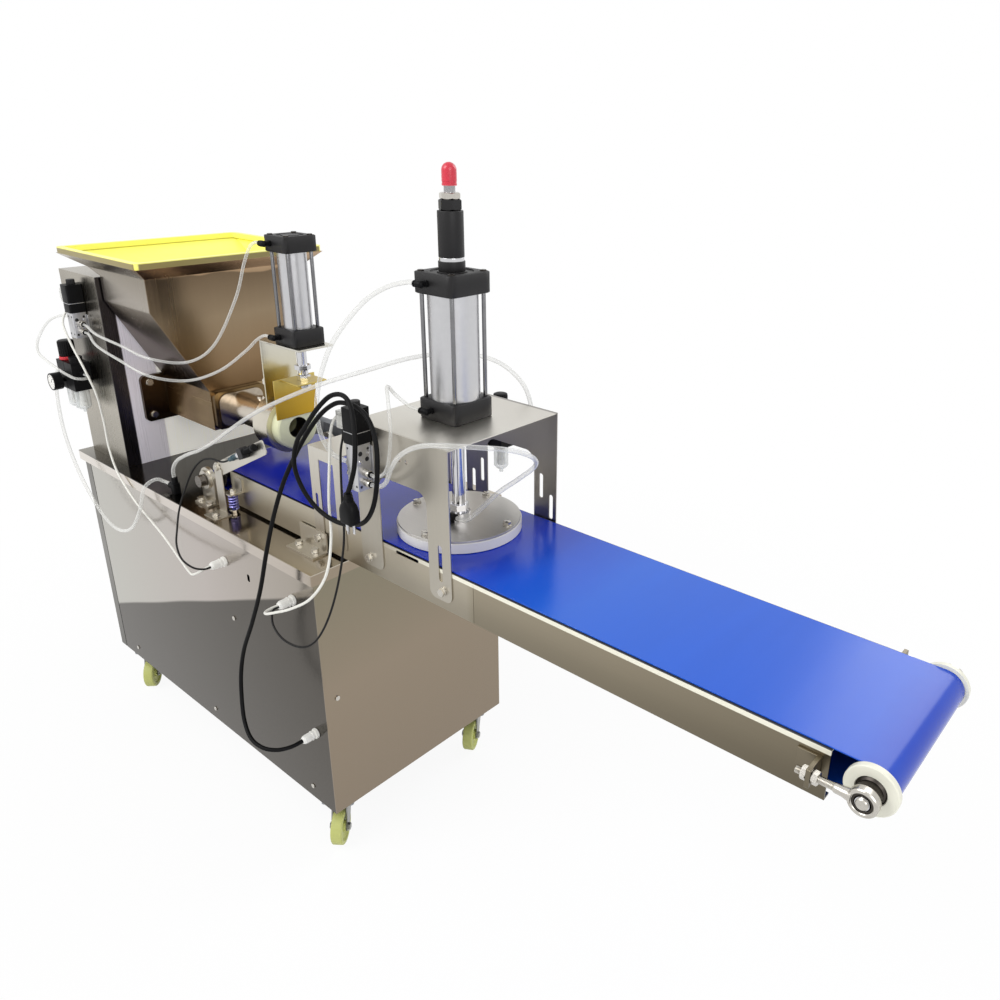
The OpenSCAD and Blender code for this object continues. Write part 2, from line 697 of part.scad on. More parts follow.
module gear() {
  p = auger_cc / 2;
  m = 2 * p / gear_z;
  rs = [p * cos(20), p - 0.35 * m, p + 0.3 * m, p + 0.9 * m];
  circle(r = p - 1.2 * m);
  for (i = [0:gear_z - 1]) rotate(i * 360 / gear_z) polygon(concat(
    [[(p - 1.4 * m) * cos(tooth(rs[0], p)), -(p - 1.4 * m) * sin(tooth(rs[0], p))]],
    [for (r = rs) [r * cos(tooth(r, p)), -r * sin(tooth(r, p))]],
    [for (k = [3:-1:0]) [rs[k] * cos(tooth(rs[k], p)), rs[k] * sin(tooth(rs[k], p))]],
    [[(p - 1.4 * m) * cos(tooth(rs[0], p)), (p - 1.4 * m) * sin(tooth(rs[0], p))]]));
}

module auger(s, x0, turn) {
  y = ly + s * auger_cc / 2;
  fl = feed_l - 24;
  w = 8 * 180 / auger_pitch;
  cyx(shaft_r, x0, fx0 + 17, y, az);
  translate([fx0 - gear_w - 12, y, az]) rotate([90, 0, 90]) linear_extrude(gear_w) rotate(turn) gear();
  translate([fx0 + 16, y, az]) rotate([0, 90, 0])
    linear_extrude(fl, twist = s * 360 * fl / auger_pitch, slices = round(fl / auger_pitch * 14), $fn = 8) {
      circle(r = shaft_r + 3, $fn = 8);
      polygon([[0, 0], [auger_r * cos(w), -auger_r * sin(w)], [auger_r, 0], [auger_r * cos(w), auger_r * sin(w)]]);
    }
}

module auger_left() {
  color([0.85, 0.85, 0.86]) auger(-1, cx1 - col_t - 84, 0);
}

module auger_right() {
  color([0.85, 0.85, 0.86]) auger(1, fx0 - gear_w - 16, 180 / gear_z);
}

module outlet_pipe() {
  color([0.82, 0.81, 0.79]) difference() {
    union() {
      yz(fx1, ex1) translate([ly - end_w / 2, az - end_h / 2]) rrect(end_w, end_h, 12);
      yz(ex1 - 1, ex1 + 3) translate([ly - end_w / 2 + 9, az - end_h / 2 + 6])
        rrect(end_w - 18, end_h - 12, 20);
      cyx(pipe_r, ex1, px1 + 1, ly, az);
      cyx(ring_r, px1, rx1, ly, az);
      cyz(7, az + pipe_r - 2, az + pipe_r + 5, px1 - 60, ly);
    }
    cyx(pipe_bore, fx1 - 1, rx1 + 1, ly, az);
    translate([fx1 - 0.01, ly, az]) rotate([0, 90, 0]) cylinder(r1 = pipe_bore + 9, r2 = pipe_bore, h = end_t);
    cyx(insert_r, px1 + ring_wall, rx1 + 1, ly, az);
  }
}

module nozzle_insert() {
  color([0.93, 0.9, 0.8]) difference() {
    union() {
      cyx(insert_r, px1 + ring_wall, nx1 - 3, ly, az);
      translate([nx1 - 3, ly, az]) rotate([0, 90, 0]) cylinder(r1 = insert_r, r2 = insert_r - 3, h = 3);
    }
    cyx(nozzle_r, px1, nx1 + 1, ly, az);
    translate([px1 + ring_wall - 0.01, ly, az]) rotate([0, 90, 0])
      cylinder(r1 = pipe_bore, r2 = nozzle_r, h = 30);
  }
}

// Hopper outline along the belt, drawn in by i
module hop_side(i) {
  polygon([[hx1 - i, hz0 - (i > 0 ? 1 : 0)], [hx1 - i, hz2], [hx1 + hop_out - i, hz3 + (i > 0 ? 1 : 0)],
    [hx0 - hop_back + i, hz3 + (i > 0 ? 1 : 0)], [hx0 - hop_back + ledge + i, hz3 - 6 + i],
    [hx0 + i, hz2 - ledge + i], [hx0 + i, hz0 - (i > 0 ? 1 : 0)]]);
}

// Hopper outline across the belt, drawn in by i
module hop_front(i) {
  e = i > 0 ? 1 : 0;
  polygon([[ly - half_w + i, hz0 - e], [ly - hop_near + i, hz1], [ly - hop_near + i, hz2],
    [ly - hop_near - hop_out + i, hz3 + e], [ly + hop_far + hop_out - i, hz3 + e],
    [ly + hop_far - i, hz2], [ly + hop_far - i, hz1], [ly + half_w - i, hz0 - e]]);
}

module hop_solid(i) {
  intersection() {
    xz(ly - hop_near - hop_out - 5, ly + hop_far + hop_out + 5) hop_side(i);
    yz(hx0 - hop_back - 5, hx1 + hop_out + 5) hop_front(i);
  }
}

module hopper_body() {
  color([0.76, 0.75, 0.73]) difference() {
    hop_solid(0);
    hop_solid(hop_t);
  }
}

module hopper_liner() {
  color([0.95, 0.88, 0.25]) difference() {
    union() {
      intersection() {
        hop_solid(hop_t + 0.01);
        bx(-5000, 5000, -5000, 5000, hz0, hz3);
      }
      translate([hx0 - hop_back, ly - hop_near - hop_out, hz3]) linear_extrude(rim_h)
        rrect(hop_l + hop_back + hop_out, hop_near + hop_far + 2 * hop_out, rim_r);
    }
    hop_solid(hop_t + liner_t);
    translate([hx0 - hop_back + rim_w, ly - hop_near - hop_out + rim_w, hz3 - 0.5]) linear_extrude(rim_h + 1)
      rrect(hop_l + hop_back + hop_out - 2 * rim_w, hop_near + hop_far + 2 * hop_out - 2 * rim_w, 8);
  }
}

module cutter_bracket() {
  lx = rx1 - 23;
  color([0.8, 0.79, 0.78]) difference() {
    union() {
      bx(lx, lx + shelf_t, ly - shelf_w / 2, ly + shelf_w / 2, az, shz);
      bx(lx, bz_x + cut_cap / 2 + 17, ly - shelf_w / 2, ly + shelf_w / 2, shz - shelf_t, shz);
    }
    cyx(ring_r, px1 - 1, rx1 + 1, ly, az);
    cyz(cut_rod + 3, shz - shelf_t - 1, shz + 1, bz_x, ly);
  }
}

// Caps, tie rods and nuts of an air cylinder standing on z0
module cyl_caps(x, z0, len, cap, c1, c2, rod, tail, bore) {
  e = cap / 2;
  t = e - tie_r - 5;
  difference() {
    union() {
      translate([x - e, ly - e, z0]) linear_extrude(c1) rrect(cap, cap, 6);
      translate([x - e, ly - e, z0 + len - c2]) linear_extrude(c2) rrect(cap, cap, 6);
      for (a = [-t, t]) for (b = [-t, t]) {
        cyz(tie_r, z0 + c1 - 1, z0 + len - c2 + 1, x + a, ly + b);
        hexz(14, z0 + len - 1, z0 + len + 2, x + a, ly + b);
      }
    }
    cyz(rod, z0 - 1, z0 + c1 + 1, x, ly);
    if (tail > 0) cyz(tail, z0 + len - c2 - 1, z0 + len + 3, x, ly);
    if (tail > 0) difference() {
      cyz(e - 9, z0 + len - 2, z0 + len + 3, x, ly);
      cyz(24, z0 + len - 3, z0 + len + 4, x, ly);
    }
  }
}

module cylinder_caps() {
  color([0.13, 0.13, 0.14]) {
    cyl_caps(bz_x, shz, cut_len, cut_cap, cut_c1, cut_c2, cut_rod + run, 0, cut_bore);
    cyl_caps(press_at, gz, pr_len, pr_cap, pc1, pc2, pr_rod + run, pr_tail + run, pr_bore);
    elbow([bz_x - 14, ly - cut_cap / 2 + 0.1, shz + 16], [0, -1, 0], [-1, 0, 0], 6);
    elbow([bz_x - 14, ly - cut_cap / 2 + 0.1, shz + cut_len - 15], [0, -1, 0], [-1, 0, 0], 6);
    elbow([press_at - 12, ly - pr_cap / 2 + 0.1, gz + pr_len - 17], [0, -1, 0], [-1, 0, 0], 6);
    elbow([press_at - 12, ly - pr_cap / 2 + 0.1, gz + 18], [0, -1, 0], [-1, 0, 0], 6);
  }
}

module cylinder_barrels() {
  color([0.86, 0.86, 0.87]) {
    difference() {
      cyz(cut_bore + 3, shz + cut_c1, shz + cut_len - cut_c2, bz_x, ly);
      cyz(cut_bore, shz, shz + cut_len, bz_x, ly);
    }
    difference() {
      cyz(pr_bore + 2.2, gz + pc1, gz + pr_len - pc2, press_at, ly);
      cyz(pr_bore, gz, gz + pr_len, press_at, ly);
    }
  }
}

module cutter_rod() {
  top = shz + cut_len - cut_c2 - 3;
  color([0.88, 0.88, 0.89]) {
    cyz(cut_bore - run, top - 20, top, bz_x, ly);
    cyz(cut_rod, blade_z1 + 12, top - 19, bz_x, ly);
    cyz(7.8, blade_z1 - blade_t - 14, blade_z1 + 13, bz_x, ly);
    hexz(24, blade_z1, blade_z1 + 11, bz_x, ly);
    hexz(24, blade_z1 - blade_t - 11, blade_z1 - blade_t, bz_x, ly);
    hexz(28, blade_z1 + 22, blade_z1 + 32, bz_x, ly);
  }
}

module cutter_blade() {
  color([0.9, 0.8, 0.3]) difference() {
    union() {
      bx(blade_x0, blade_x0 + blade_t, ly - blade_w / 2, ly + blade_w / 2, blade_z0, blade_z1);
      bx(blade_x0, bz_x + 30, ly - 34, ly + 34, blade_z1 - blade_t, blade_z1);
    }
    cyz(8, blade_z1 - blade_t - 1, blade_z1 + 1, bz_x, ly);
  }
}

module conveyor_frame() {
  color([0.78, 0.78, 0.77]) difference() {
    bx(-conv_back, conv_out, vy0, vy1, rail_z, deck_z);
    bx(-conv_back - 1, conv_out + 1, vy0 + conv_t, vy1 - conv_t, rail_z + conv_t, deck_z - conv_t);
    bx(-conv_back - 1, conv_out + 1, vy0 + 14, vy1 - 14, rail_z - 1, rail_z + conv_t + 1);
    for (y = [vy0 - 1, vy1 - 0.8]) bx(seam_x, seam_x + 0.8, y, y + 1.8, rail_z - 1, deck_z + 1);
    bx(seam_x, seam_x + 0.8, vy0 - 1, vy1 + 1, deck_z - 0.8, deck_z + 1);
    both() for (b = side_bolts) cyy(bolt_r + hole, vy0 - 1, vy0 + conv_t + 1, b[0], tz + b[1]);
    both() xz(vy0 - 1, vy0 + conv_t + 1) translate([rail_slot[0], deck_z - 10]) {
      square([rail_slot[1] - rail_slot[0], 6]);
      for (x = [0, rail_slot[1] - rail_slot[0]]) translate([x, 3]) circle(r = 3);
    }
  }
}

module belt() {
  color([0.1, 0.2, 0.85]) difference() {
    union() {
      bx(dx, tx, ly - belt_w / 2, ly + belt_w / 2, bz - br - belt_t, bz + br + belt_t);
      for (x = [dx, tx]) cyy(br + belt_t, ly - belt_w / 2, ly + belt_w / 2, x, bz);
    }
    bx(dx, tx, ly - belt_w / 2 - 1, ly + belt_w / 2 + 1, bz - br, bz + br);
    for (x = [dx, tx]) cyy(br, ly - belt_w / 2 - 1, ly + belt_w / 2 + 1, x, bz);
  }
}

module drive_roller() {
  color([0.5, 0.5, 0.52]) {
    cyy(roller_r, ly - belt_w / 2, ly + belt_w / 2, dx, bz);
    cyy(drive_r, vy0 - 46, vy1 + 78, dx, bz);
    cyy(drive_r + 3, vy0 - 46, vy0 - 33, dx, bz);
  }
}

module tail_roller() {
  color([0.92, 0.92, 0.9]) difference() {
    union() {
      cyy(roller_r, ly - belt_w / 2, ly + belt_w / 2, tx, bz);
      both() {
        cyy(disc_r, ly - belt_w / 2 - disc_w, ly - belt_w / 2 - 0.5, tx, bz);
        cyy(tail_r + 7, vy0 - eye_y + eye_w / 2 + touch, ly - belt_w / 2 + 1, tx, bz);
      }
    }
    cyy(tail_r + run, vy0 - 60, vy1 + 60, tx, bz);
  }
}

module belt_tensioners() {
  color([0.75, 0.75, 0.76]) {
    cyy(tail_r, vy0 - eye_y - eye_w / 2 - 2, vy1 + eye_y + eye_w / 2 + 2, tx, bz);
    both() {
      cyy(tail_r + 7, vy0 - eye_y - eye_w / 2, vy0 - eye_y + eye_w / 2, tx, bz);
      bx(conv_out - 15, conv_out - 9, vy0 - eye_y - 9, vy0, bz - 13, bz + 13);
      bx(conv_out - 40, conv_out - 9, vy0 - 4, vy0, bz - 13, bz + 13);
      cyx(5, conv_out - 30, tx - 12, vy0 - eye_y, bz);
      translate([conv_out - 22, vy0 - eye_y, bz]) rotate([0, 90, 0]) cylinder(r = 9, h = 7, $fn = 6);
      translate([conv_out - 9, vy0 - eye_y, bz]) rotate([0, 90, 0]) cylinder(r = 9, h = 8, $fn = 6);
    }
  }
}

module stand() {
  difference() {
    union() {
      xz(vy0 - 26, vy0 - 26 + stand_t) {
        translate([dx - 26, tz]) square([52, bz - tz]);
        translate([dx, bz]) circle(r = 26);
      }
      cyy(20, vy0 - 32, vy0 - 25, dx, bz);
    }
    cyy(drive_r + run, vy0 - 40, vy0, dx, bz);
  }
}

module conveyor_feet() {
  color([0.77, 0.77, 0.76]) {
    both() difference() {
      union() {
        bx(foot_x[0], foot_x[1], vy0 - gan_t - foot_w, vy0 - gan_t, tz, tz + foot_t);
        bx(foot_x[0], foot_x[1], vy0 - gan_t - 3, vy0 - gan_t, tz, tz + 42);
      }
      for (b = tray_bolts) cyz(bolt_r + hole, tz - 1, tz + foot_t + 1, b[0], vy0 - b[1]);
      cyy(bolt_r + hole, vy0 - gan_t - 4, vy0, side_bolts[0][0], tz + side_bolts[0][1]);
    }
    both() stand();
    difference() {
      bx(dx - 26, dx + 26, vy0 - 46, vy0 - 19, tz, tz + 4);
      for (s = stand_bolts) cyz(bolt_r + hole, tz - 1, tz + 5, dx + s, vy0 - 36);
    }
    bx(dx - 26, dx + 26, vy1 + 18, vy1 + 34, tz, tz + 4);
    both() difference() {
      union() {
        bx(spr_x - 14, spr_x + 14, vy0 - 30, vy0, spr_z, spr_z + 3);
        bx(spr_x - 14, spr_x + 14, vy0 - 3, vy0, spr_z, spr_z + 30);
      }
      cyz(bolt_r + hole, spr_z - 1, spr_z + 4, spr_x, vy0 - spr_y);
    }
  }
}

// Frame along a path: each ring's side vector is carried over from the last one
function unit(v) = v / norm(v);
function tan_at(p, i) = unit(p[min(i + 1, len(p) - 1)] - p[max(i - 1, 0)]);
function side0(t) = unit(cross(t, abs(t[2]) < 0.9 ? [0, 0, 1] : [1, 0, 0]));
function sides(p, i = 0, u = undef) =
  i == len(p) ? [] :
  let (t = tan_at(p, i), w = u == undef ? side0(t) : unit(u - t * (u * t)))
  concat([w], sides(p, i + 1, w));

// Smooth curve through points, k steps a span
function spline(p, k) = concat([for (i = [0:len(p) - 2], j = [0:k - 1])
  let (a = p[max(i - 1, 0)], b = p[i], c = p[i + 1], d = p[min(i + 2, len(p) - 1)], s = j / k)
  0.5 * (2 * b + (c - a) * s + (2 * a - 5 * b + 4 * c - d) * s * s
    + (3 * b - a - 3 * c + d) * s * s * s)], [p[len(p) - 1]]);

// Closed tube of n sides along a path
module tube(p, r, n) {
  u = sides(p);
  m = len(p);
  ring = [for (i = [0:m - 1]) let (t = tan_at(p, i), v = cross(t, u[i]))
    for (k = [0:n - 1]) p[i] + r * (cos(360 * k / n) * u[i] + sin(360 * k / n) * v)];
  side = [for (i = [0:m - 2], k = [0:n - 1]) let (a = i * n + k, b = i * n + (k + 1) % n)
    each [[a, a + n, b], [b, a + n, b + n]]];
  caps = concat([for (k = [1:n - 2]) [0, k, k + 1]],
    [for (k = [1:n - 2]) [(m - 1) * n, (m - 1) * n + k + 1, (m - 1) * n + k]]);
  polyhedron(points = ring, faces = concat(side, caps), convexity = 10);
}

// Path of a foot spring: flat ends, then an even climb
function coil_path(h) = [for (i = [0:spring_n * 8]) let (a = 45 * i, s = i / (spring_n * 8))
  [spring_r * cos(a), spring_r * sin(a), spr_wire + 0.05 + (h - 2 * spr_wire - 0.1) * s]];

// Least gap of a tube of radius r to itself, between rings at least k apart
function self_gap(p, r, k) =
  min([for (i = [0:len(p) - 1], j = [i + k:1:len(p) - 1]) norm(p[i] - p[j])]) - 2 * r;

module foot_springs() {
  h = spr_z - tz - 8;
  echo(spring_gap = self_gap(coil_path(h), spr_wire, 5));
  color([0.15, 0.2, 0.7]) both() translate([spr_x, vy0 - spr_y, tz + 8]) tube(coil_path(h), spr_wire, 6);
}

// Hexagon bolt with washer, head up, seat at z = 0, shank s long
module bolt(s) {
  cyz(8, 0, wash, 0, 0);
  cylinder(r = 7.5, h = wash + bolt_h, $fn = 6);
  cyz(bolt_r, -s, 1, 0, 0);
}

module hex_bolts() {
  color([0.7, 0.7, 0.72]) {
    both() for (i = [0:2]) let (y = vy0 - gan_t - (i == 0 ? 3 : 0))
      translate([side_bolts[i][0], y, tz + side_bolts[i][1]]) rotate([90, 0, 0]) bolt(vy0 + 3.5 - y);
    both() for (b = tray_bolts) translate([b[0], vy0 - b[1], tz + foot_t]) bolt(foot_t + 8);
    for (s = stand_bolts) translate([dx + s, vy0 - 36, tz + 4]) bolt(12);
    translate([-354, vy0 - 54, tz + 2]) bolt(10);
    both() translate([spr_x, vy0 - spr_y, 0]) {
      cyz(bolt_r, tz - 8, spr_z + 12, 0, 0);
      hexz(13, tz, tz + 7, 0, 0);
      cyz(10.5, tz + 6.5, tz + 8, 0, 0);
      hexz(13, spr_z + 3, spr_z + 9, 0, 0);
    }
    for (s = [-1, 1]) for (b = [-1, 1])
      translate([fx0 + flange_t, ly + s * (flange_w - 19), fl_zc + b * fl_bolt]) rotate([0, 90, 0])
        bolt(flange_t);
  }
}

// Leg with rounded lower corners, from x0 to x1
module leg2d(x0, x1, z0, z1, r) {
  translate([x0, z0 + r]) square([x1 - x0, z1 - z0 - r]);
  translate([x0 + r, z0]) square([x1 - x0 - 2 * r, r + 1]);
  for (x = [x0 + r, x1 - r]) translate([x, z0 + r]) circle(r = r);
}

module slot2d(x, z0, z1, w) {
  translate([x - w / 2, z0 + w / 2]) square([w, z1 - z0 - w]);
  for (z = [z0 + w / 2, z1 - w / 2]) translate([x, z]) circle(r = w / 2);
}

module gantry_side() {
  wx0 = gx0 + gan_leg;
  wx1 = gx1 - gan_leg + 5;
  difference() {
    union() {
      leg2d(gx0, wx0, leg_z, gz - 1, 14);
      leg2d(wx1, gx1, leg_z, gz - 1, 14);
      translate([gx0, tz + gan_win - 30]) square([gan_l, gz - 1 - tz - gan_win + 30]);
    }
    translate([wx0, tz]) square([wx1 - wx0, gan_win - 22]);
    translate([wx0 + 22, tz]) square([wx1 - wx0 - 44, gan_win]);
    for (x = [wx0 + 22, wx1 - 22]) translate([x, tz + gan_win - 22]) circle(r = 22);
  }
}

module gantry() {
  color([0.5, 0.5, 0.5]) difference() {
    union() {
      xz(gy0, vy0) gantry_side();
      xz(vy1, gy1) gantry_side();
      bx(gx0, gx1, gy0, gy1, gz - gan_t, gz);
    }
    xz(gy0 - 1, vy0 + 1) slot2d(gx1 - gan_leg / 2 + 4, tz + 57, tz + 123, 9);
    xz(vy1 - 1, gy1 + 1) {
      slot2d(gx0 + 20, tz + 84, tz + 132, 9);
      slot2d(gx0 + 44, tz + 112, tz + 160, 9);
      slot2d(gx1 - 36, tz + 120, tz + 168, 9);
      slot2d(gx1 - 12, tz + 84, tz + 132, 9);
    }
    xz(gy0 - 1, vy0 + 1) for (x = [3, 20]) translate([press_at + x, tz + 249]) circle(r = 3.5);
    both() for (i = [1, 2]) cyy(bolt_r + hole, gy0 - 1, vy0 + 1, side_bolts[i][0], tz + side_bolts[i][1]);
    cyz(pr_rod + 2, gz - gan_t - 1, gz + 1, press_at, ly);
  }
}

module portal_side() {
  x0 = -por_at;
  x1 = por_l - por_at;
  leg2d(x0, x0 + 28, leg_z, pz - 1, 10);
  leg2d(x1 - 23, x1, leg_z, pz - 1, 10);
  translate([x0, pz - 22]) square([por_l, 21]);
}

module guide_portal() {
  x1 = por_l - por_at;
  color([0.72, 0.72, 0.72]) difference() {
    union() {
      xz(gy0, vy0) portal_side();
      xz(vy1, gy1) portal_side();
      bx(-por_at, x1, gy0, gy1, pz - gan_t, pz);
    }
    both() xz(gy0 - 1, vy0 + 1) {
      slot2d(-por_at + 14, tz + 80, tz + 120, 8);
      translate([side_bolts[0][0], tz + side_bolts[0][1]]) circle(r = bolt_r + hole);
    }
    translate([0, 0, pz - gan_t - 1]) linear_extrude(gan_t + 2)
      for (y = [ly - 70, ly + 10]) slot2d((x1 - por_at) / 2, y, y + 60, 10);
  }
}

module press_rod() {
  color([0.88, 0.88, 0.89]) {
    cyz(pr_bore - run, gz + pc1 + 4, gz + pc1 + 29, press_at, ly);
    cyz(pr_rod, dz1 + 8, gz + pc1 + 5, press_at, ly);
    cyz(20, dz1, dz1 + 9, press_at, ly);
    hexz(30, dz1 + 12, dz1 + 24, press_at, ly);
    cyz(pr_tail, gz + pc1 + 28, sl2 + 56, press_at, ly);
  }
}

module press_stop() {
  color([0.5, 0.2, 0.2]) difference() {
    union() {
      hexz(33, sl2 + touch, sl2 + 17, press_at, ly);
      hexz(32, sl2 + 17, sl2 + 27, press_at, ly);
      cyz(12, sl2 + 37, sl2 + 66, press_at, ly);
      translate([press_at, ly, sl2 + 66]) cylinder(r1 = 12, r2 = 8, h = 6);
    }
    cyz(pr_tail, sl2 - 1, sl2 + 56, press_at, ly);
  }
}

module press_sleeve() {
  color([0.3, 0.3, 0.32]) difference() {
    union() {
      cyz(22, slz, slz + 16, press_at, ly);
      cyz(20, slz + 16, sl1, press_at, ly);
      cyz(21, sl1, sl2, press_at, ly);
    }
    cyz(pr_tail + touch, slz - 1, sl2 + 1, press_at, ly);
  }
}

module press_plate() {
  color([0.8, 0.8, 0.8]) difference() {
    cyz(plate_r, dz0, dz1, press_at, ly);
    for (a = bolt_a) translate([press_at + bolt_ring * cos(a), ly + bolt_ring * sin(a), dz0 - 1])
      cylinder(r = bolt_r + hole, h = plate_t + 2);
  }
}

module press_pad() {
  color([0.93, 0.93, 0.9]) difference() {
    cyz(pad_r, plz, dz0, press_at, ly);
    for (a = bolt_a) translate([press_at + bolt_ring * cos(a), ly + bolt_ring * sin(a), dz0 - 11])
      cylinder(r = bolt_r + hole, h = 12);
  }
}

module press_bolts() {
  color([0.6, 0.6, 0.62]) {
    for (a = bolt_a) translate([press_at + bolt_ring * cos(a), ly + bolt_ring * sin(a), dz1])
      bolt(plate_t + 10);
    elbow([press_at + 13, ly - 33, dz1], [0, 0, 1], [1, 0, 0], 6);
  }
}

module sensor_post() {
  color([0.8, 0.8, 0.79]) {
    difference() {
      union() {
        bx(-376, -331, post_y - 37, post_y, tz, tz + 2);
        bx(-376, -348, post_y - 2, post_y, tz, tz + piv_up);
        cyy(12, post_y - 2, post_y, -piv_at + 2, tz + piv_up);
      }
      cyz(bolt_r + hole, tz - 1, tz + 3, -354, vy0 - 54);
      cyz(3 + hole, tz - 1, tz + 3, -340, vy0 - 54);
    }
    cyy(7, post_y - 5.5, post_y - 2, -piv_at, tz + piv_up);
    cyy(3, post_y - 3, post_y + 8, -piv_at, tz + piv_up);
    cyy(6, post_y + 2 + 2 * touch, post_y + 7, -piv_at, tz + piv_up);
  }
}

// Places along the sensor's arm: u along it, y across the belt, w across its width
module on_arm() {
  translate([-piv_at, 0, tz + piv_up]) rotate([0, -arm_tilt, 0]) children();
}

module sensor_arm() {
  color([0.85, 0.85, 0.84]) on_arm() difference() {
    xz(post_y + touch, post_y + touch + 2) translate([-13, -19]) rrect(arm_l + 13, 29, 5);
    cyy(3 + run, post_y - 1, post_y + 5, 0, 0);
    cyy(3, post_y - 1, post_y + 5, arm_l - 10, -6);
  }
}

module feed_sensor() {
  y = post_y + touch - sens_r;
  color([0.12, 0.12, 0.13]) on_arm() {
    cyx(sens_r - 2.5, 78, 92, y, 2);
    cyx(sens_r - 1, 91, 120, y, 2);
    cyx(sens_r, 119, 190, y, 2);
    bx(132, 150, y - sens_r - 2, post_y + touch, -9, 13);
  }
}

// Valve body on a wall that faces -Y at y = w, foot at z
module valve_body(x, w, z, h) {
  bx(x - 14, x + 14, w - 32, w - 2, z, z + h);
  bx(x - 18, x + 18, w - 2, w, z + 10, z + h - 6);
  for (s = [14, 32]) {
    cyx(6.5, x - 30, x - 13, w - 17, z + s + 8);
    cyx(6.5, x + 13, x + 30, w - 17, z + s);
  }
}

module valve_bodies() {
  color([0.72, 0.73, 0.75]) {
    valve_body(gx0 + 33, gy0, tz + 181, valve_h);
    valve_body(cx0 + 99, cy0, tz + 301, valve_low);
    bx(-536, -520, 11, 27, tz, tz + 24);
    cyz(7, tz + 23, tz + 38, -528, 19);
    cyx(7, -550, -535, 19, tz + 14);
  }
}

module valve_coil(x, w, z) {
  translate([x - 16, w - 35, z]) linear_extrude(coil_h) rrect(32, 35, 4);
  cyz(9, z + coil_h, z + coil_h + 11, x, w - 17);
  bx(x - 40, x - 15, w - 29, w - 7, z + 18, z + 52);
}

module valve_coils() {
  color([0.1, 0.1, 0.11]) {
    valve_coil(gx0 + 33, gy0, tz + 181 + valve_h);
    valve_coil(cx0 + 99, cy0, tz + 301 + valve_low);
  }
}

module regulator_bodies() {
  e = mod_w / 2;
  color([0.13, 0.13, 0.14]) {
    bx(reg_x - e, reg_x + e, mod_y - e, mod_y + e, mod_z, mod_z + mod_h);
    bx(lub_x - e, lub_x + e, mod_y - e, mod_y + e, mod_z, mod_z + mod_h);
    bx(reg_x, lub_x, mod_y, cy0, mod_z + 15, mod_z + 50);
    cyz(14, mod_z + mod_h, mod_z + mod_h + 12, lub_x, mod_y);
    cyz(8, mod_z + mod_h - 1, mod_z + mod_h + 22, reg_x, mod_y);
    cyx(7, reg_x - e - 14, reg_x - e + 1, mod_y, mod_z + 40);
    cyx(7, lub_x + e - 1, lub_x + e + 14, mod_y, mod_z + 40);
    cyy(5, mod_y - e - 7, mod_y - e + 1, reg_x, mod_z + 18);
    cyy(gauge_r, mod_y - e - 26, mod_y - e - 6, reg_x, mod_z + 18);
    bx(gr_x - 18, gr_x + 18, gr_y - 18, gr_y + 18, gr_z, gr_z + 40);
    bx(gr_x - 14, gr_x + 14, gy1, gr_y, gr_z + 26, gr_z + 36);
    cyz(13, gr_z + 39, gr_z + 68, gr_x, gr_y);
    cyz(7, gr_z + 67, gr_z + 86, gr_x, gr_y);
    cyx(6, gr_x - 32, gr_x - 17, gr_y, gr_z + 18);
    cyx(6, gr_x + 17, gr_x + 32, gr_y, gr_z + 18);
  }
}

module bowl(x, y, z, r, h) {
  translate([x, y, z - h]) cylinder(r1 = r - 5, r2 = r, h = 6);
  cyz(r, z - h + 6, z, x, y);
  cyz(4, z - h - 8, z - h + 1, x, y);
}

module filter_bowls() {
  color([0.8, 0.85, 0.85]) {
    bowl(reg_x, mod_y, mod_z, bowl_r, 47);
    bowl(lub_x, mod_y, mod_z, bowl_r, 47);
    bowl(gr_x, gr_y, gr_z, bowl_r - 2, 46);
  }
}

module knob(x, y, z, r, h, stem) {
  difference() {
    union() {
      cyz(r, z, z + h - 2, x, y);
      translate([x, y, z + h - 2]) cylinder(r1 = r, r2 = r - 2, h = 2);
    }
    cyz(stem + run, z - 1, z + h / 2, x, y);
  }
}

module preparer_knob() {
  color([0.12, 0.12, 0.12]) knob(reg_x, mod_y, mod_z + mod_h + touch, 18, 44, 8);
}

module regulator_knob() {
  color([0.12, 0.12, 0.12]) knob(gr_x, gr_y, gr_z + 68 + touch, 14, 36, 7);
}

// Sum of a list
function sum(v, i = 0) = i == len(v) ? 0 : v[i] + sum(v, i + 1);
echo(lead_length = sum(lead_len));
echo(lead_gap = self_gap(spline(lead, 2), 4, 6));

// Tube or cable of radius r along a route, k steps a span
module cord(p, r, k) {
  translate([0, 0, tz]) tube(spline(p, k), r, 8);
}

module air_tubes() {
  color([0.9, 0.92, 0.92]) {
    cord(tube_1, 3, 3);
    cord(tube_2, 3, 3);
    cord(tube_3, 3, 3);
    cord(tube_4, 4, 2);
    cord(tube_5, 4, 3);
    cord(tube_6, 4, 3);
    cord(tube_7, 3, 3);
  }
}

module press_hose() {
  color([0.92, 0.93, 0.94]) cord(hose, 4, 3);
}

module signal_cables() {
  color([0.9, 0.9, 0.88]) {
    cord(cable_1, 2.5, 2);
    cord(cable_2, 2, 2);
    cord(cable_3, 2.5, 2);
  }
}

module sensor_cable() {
  color([0.1, 0.1, 0.1]) cord(cable_4, 2, 2);
}

module mains_lead() {
  color([0.08, 0.08, 0.08]) cord(lead, 4, 2);
}

module mains_plug() {
  p = lead[len(lead) - 1];
  color([0.1, 0.1, 0.1]) translate([p[0], p[1], p[2] + tz]) {
    translate([0, 0, -14]) cylinder(r1 = 9, r2 = 6.5, h = 14);
    translate([-18, -11, -52]) linear_extrude(30) rrect(36, 22, 9);
    translate([-13, -9, -23]) linear_extrude(10) rrect(26, 18, 8);
    for (x = [-9, 9]) translate([x - 3, -1, -70]) cube([6, 2, 19]);
    translate([-1, -7, -72]) cube([2, 5, 21]);
  }
}

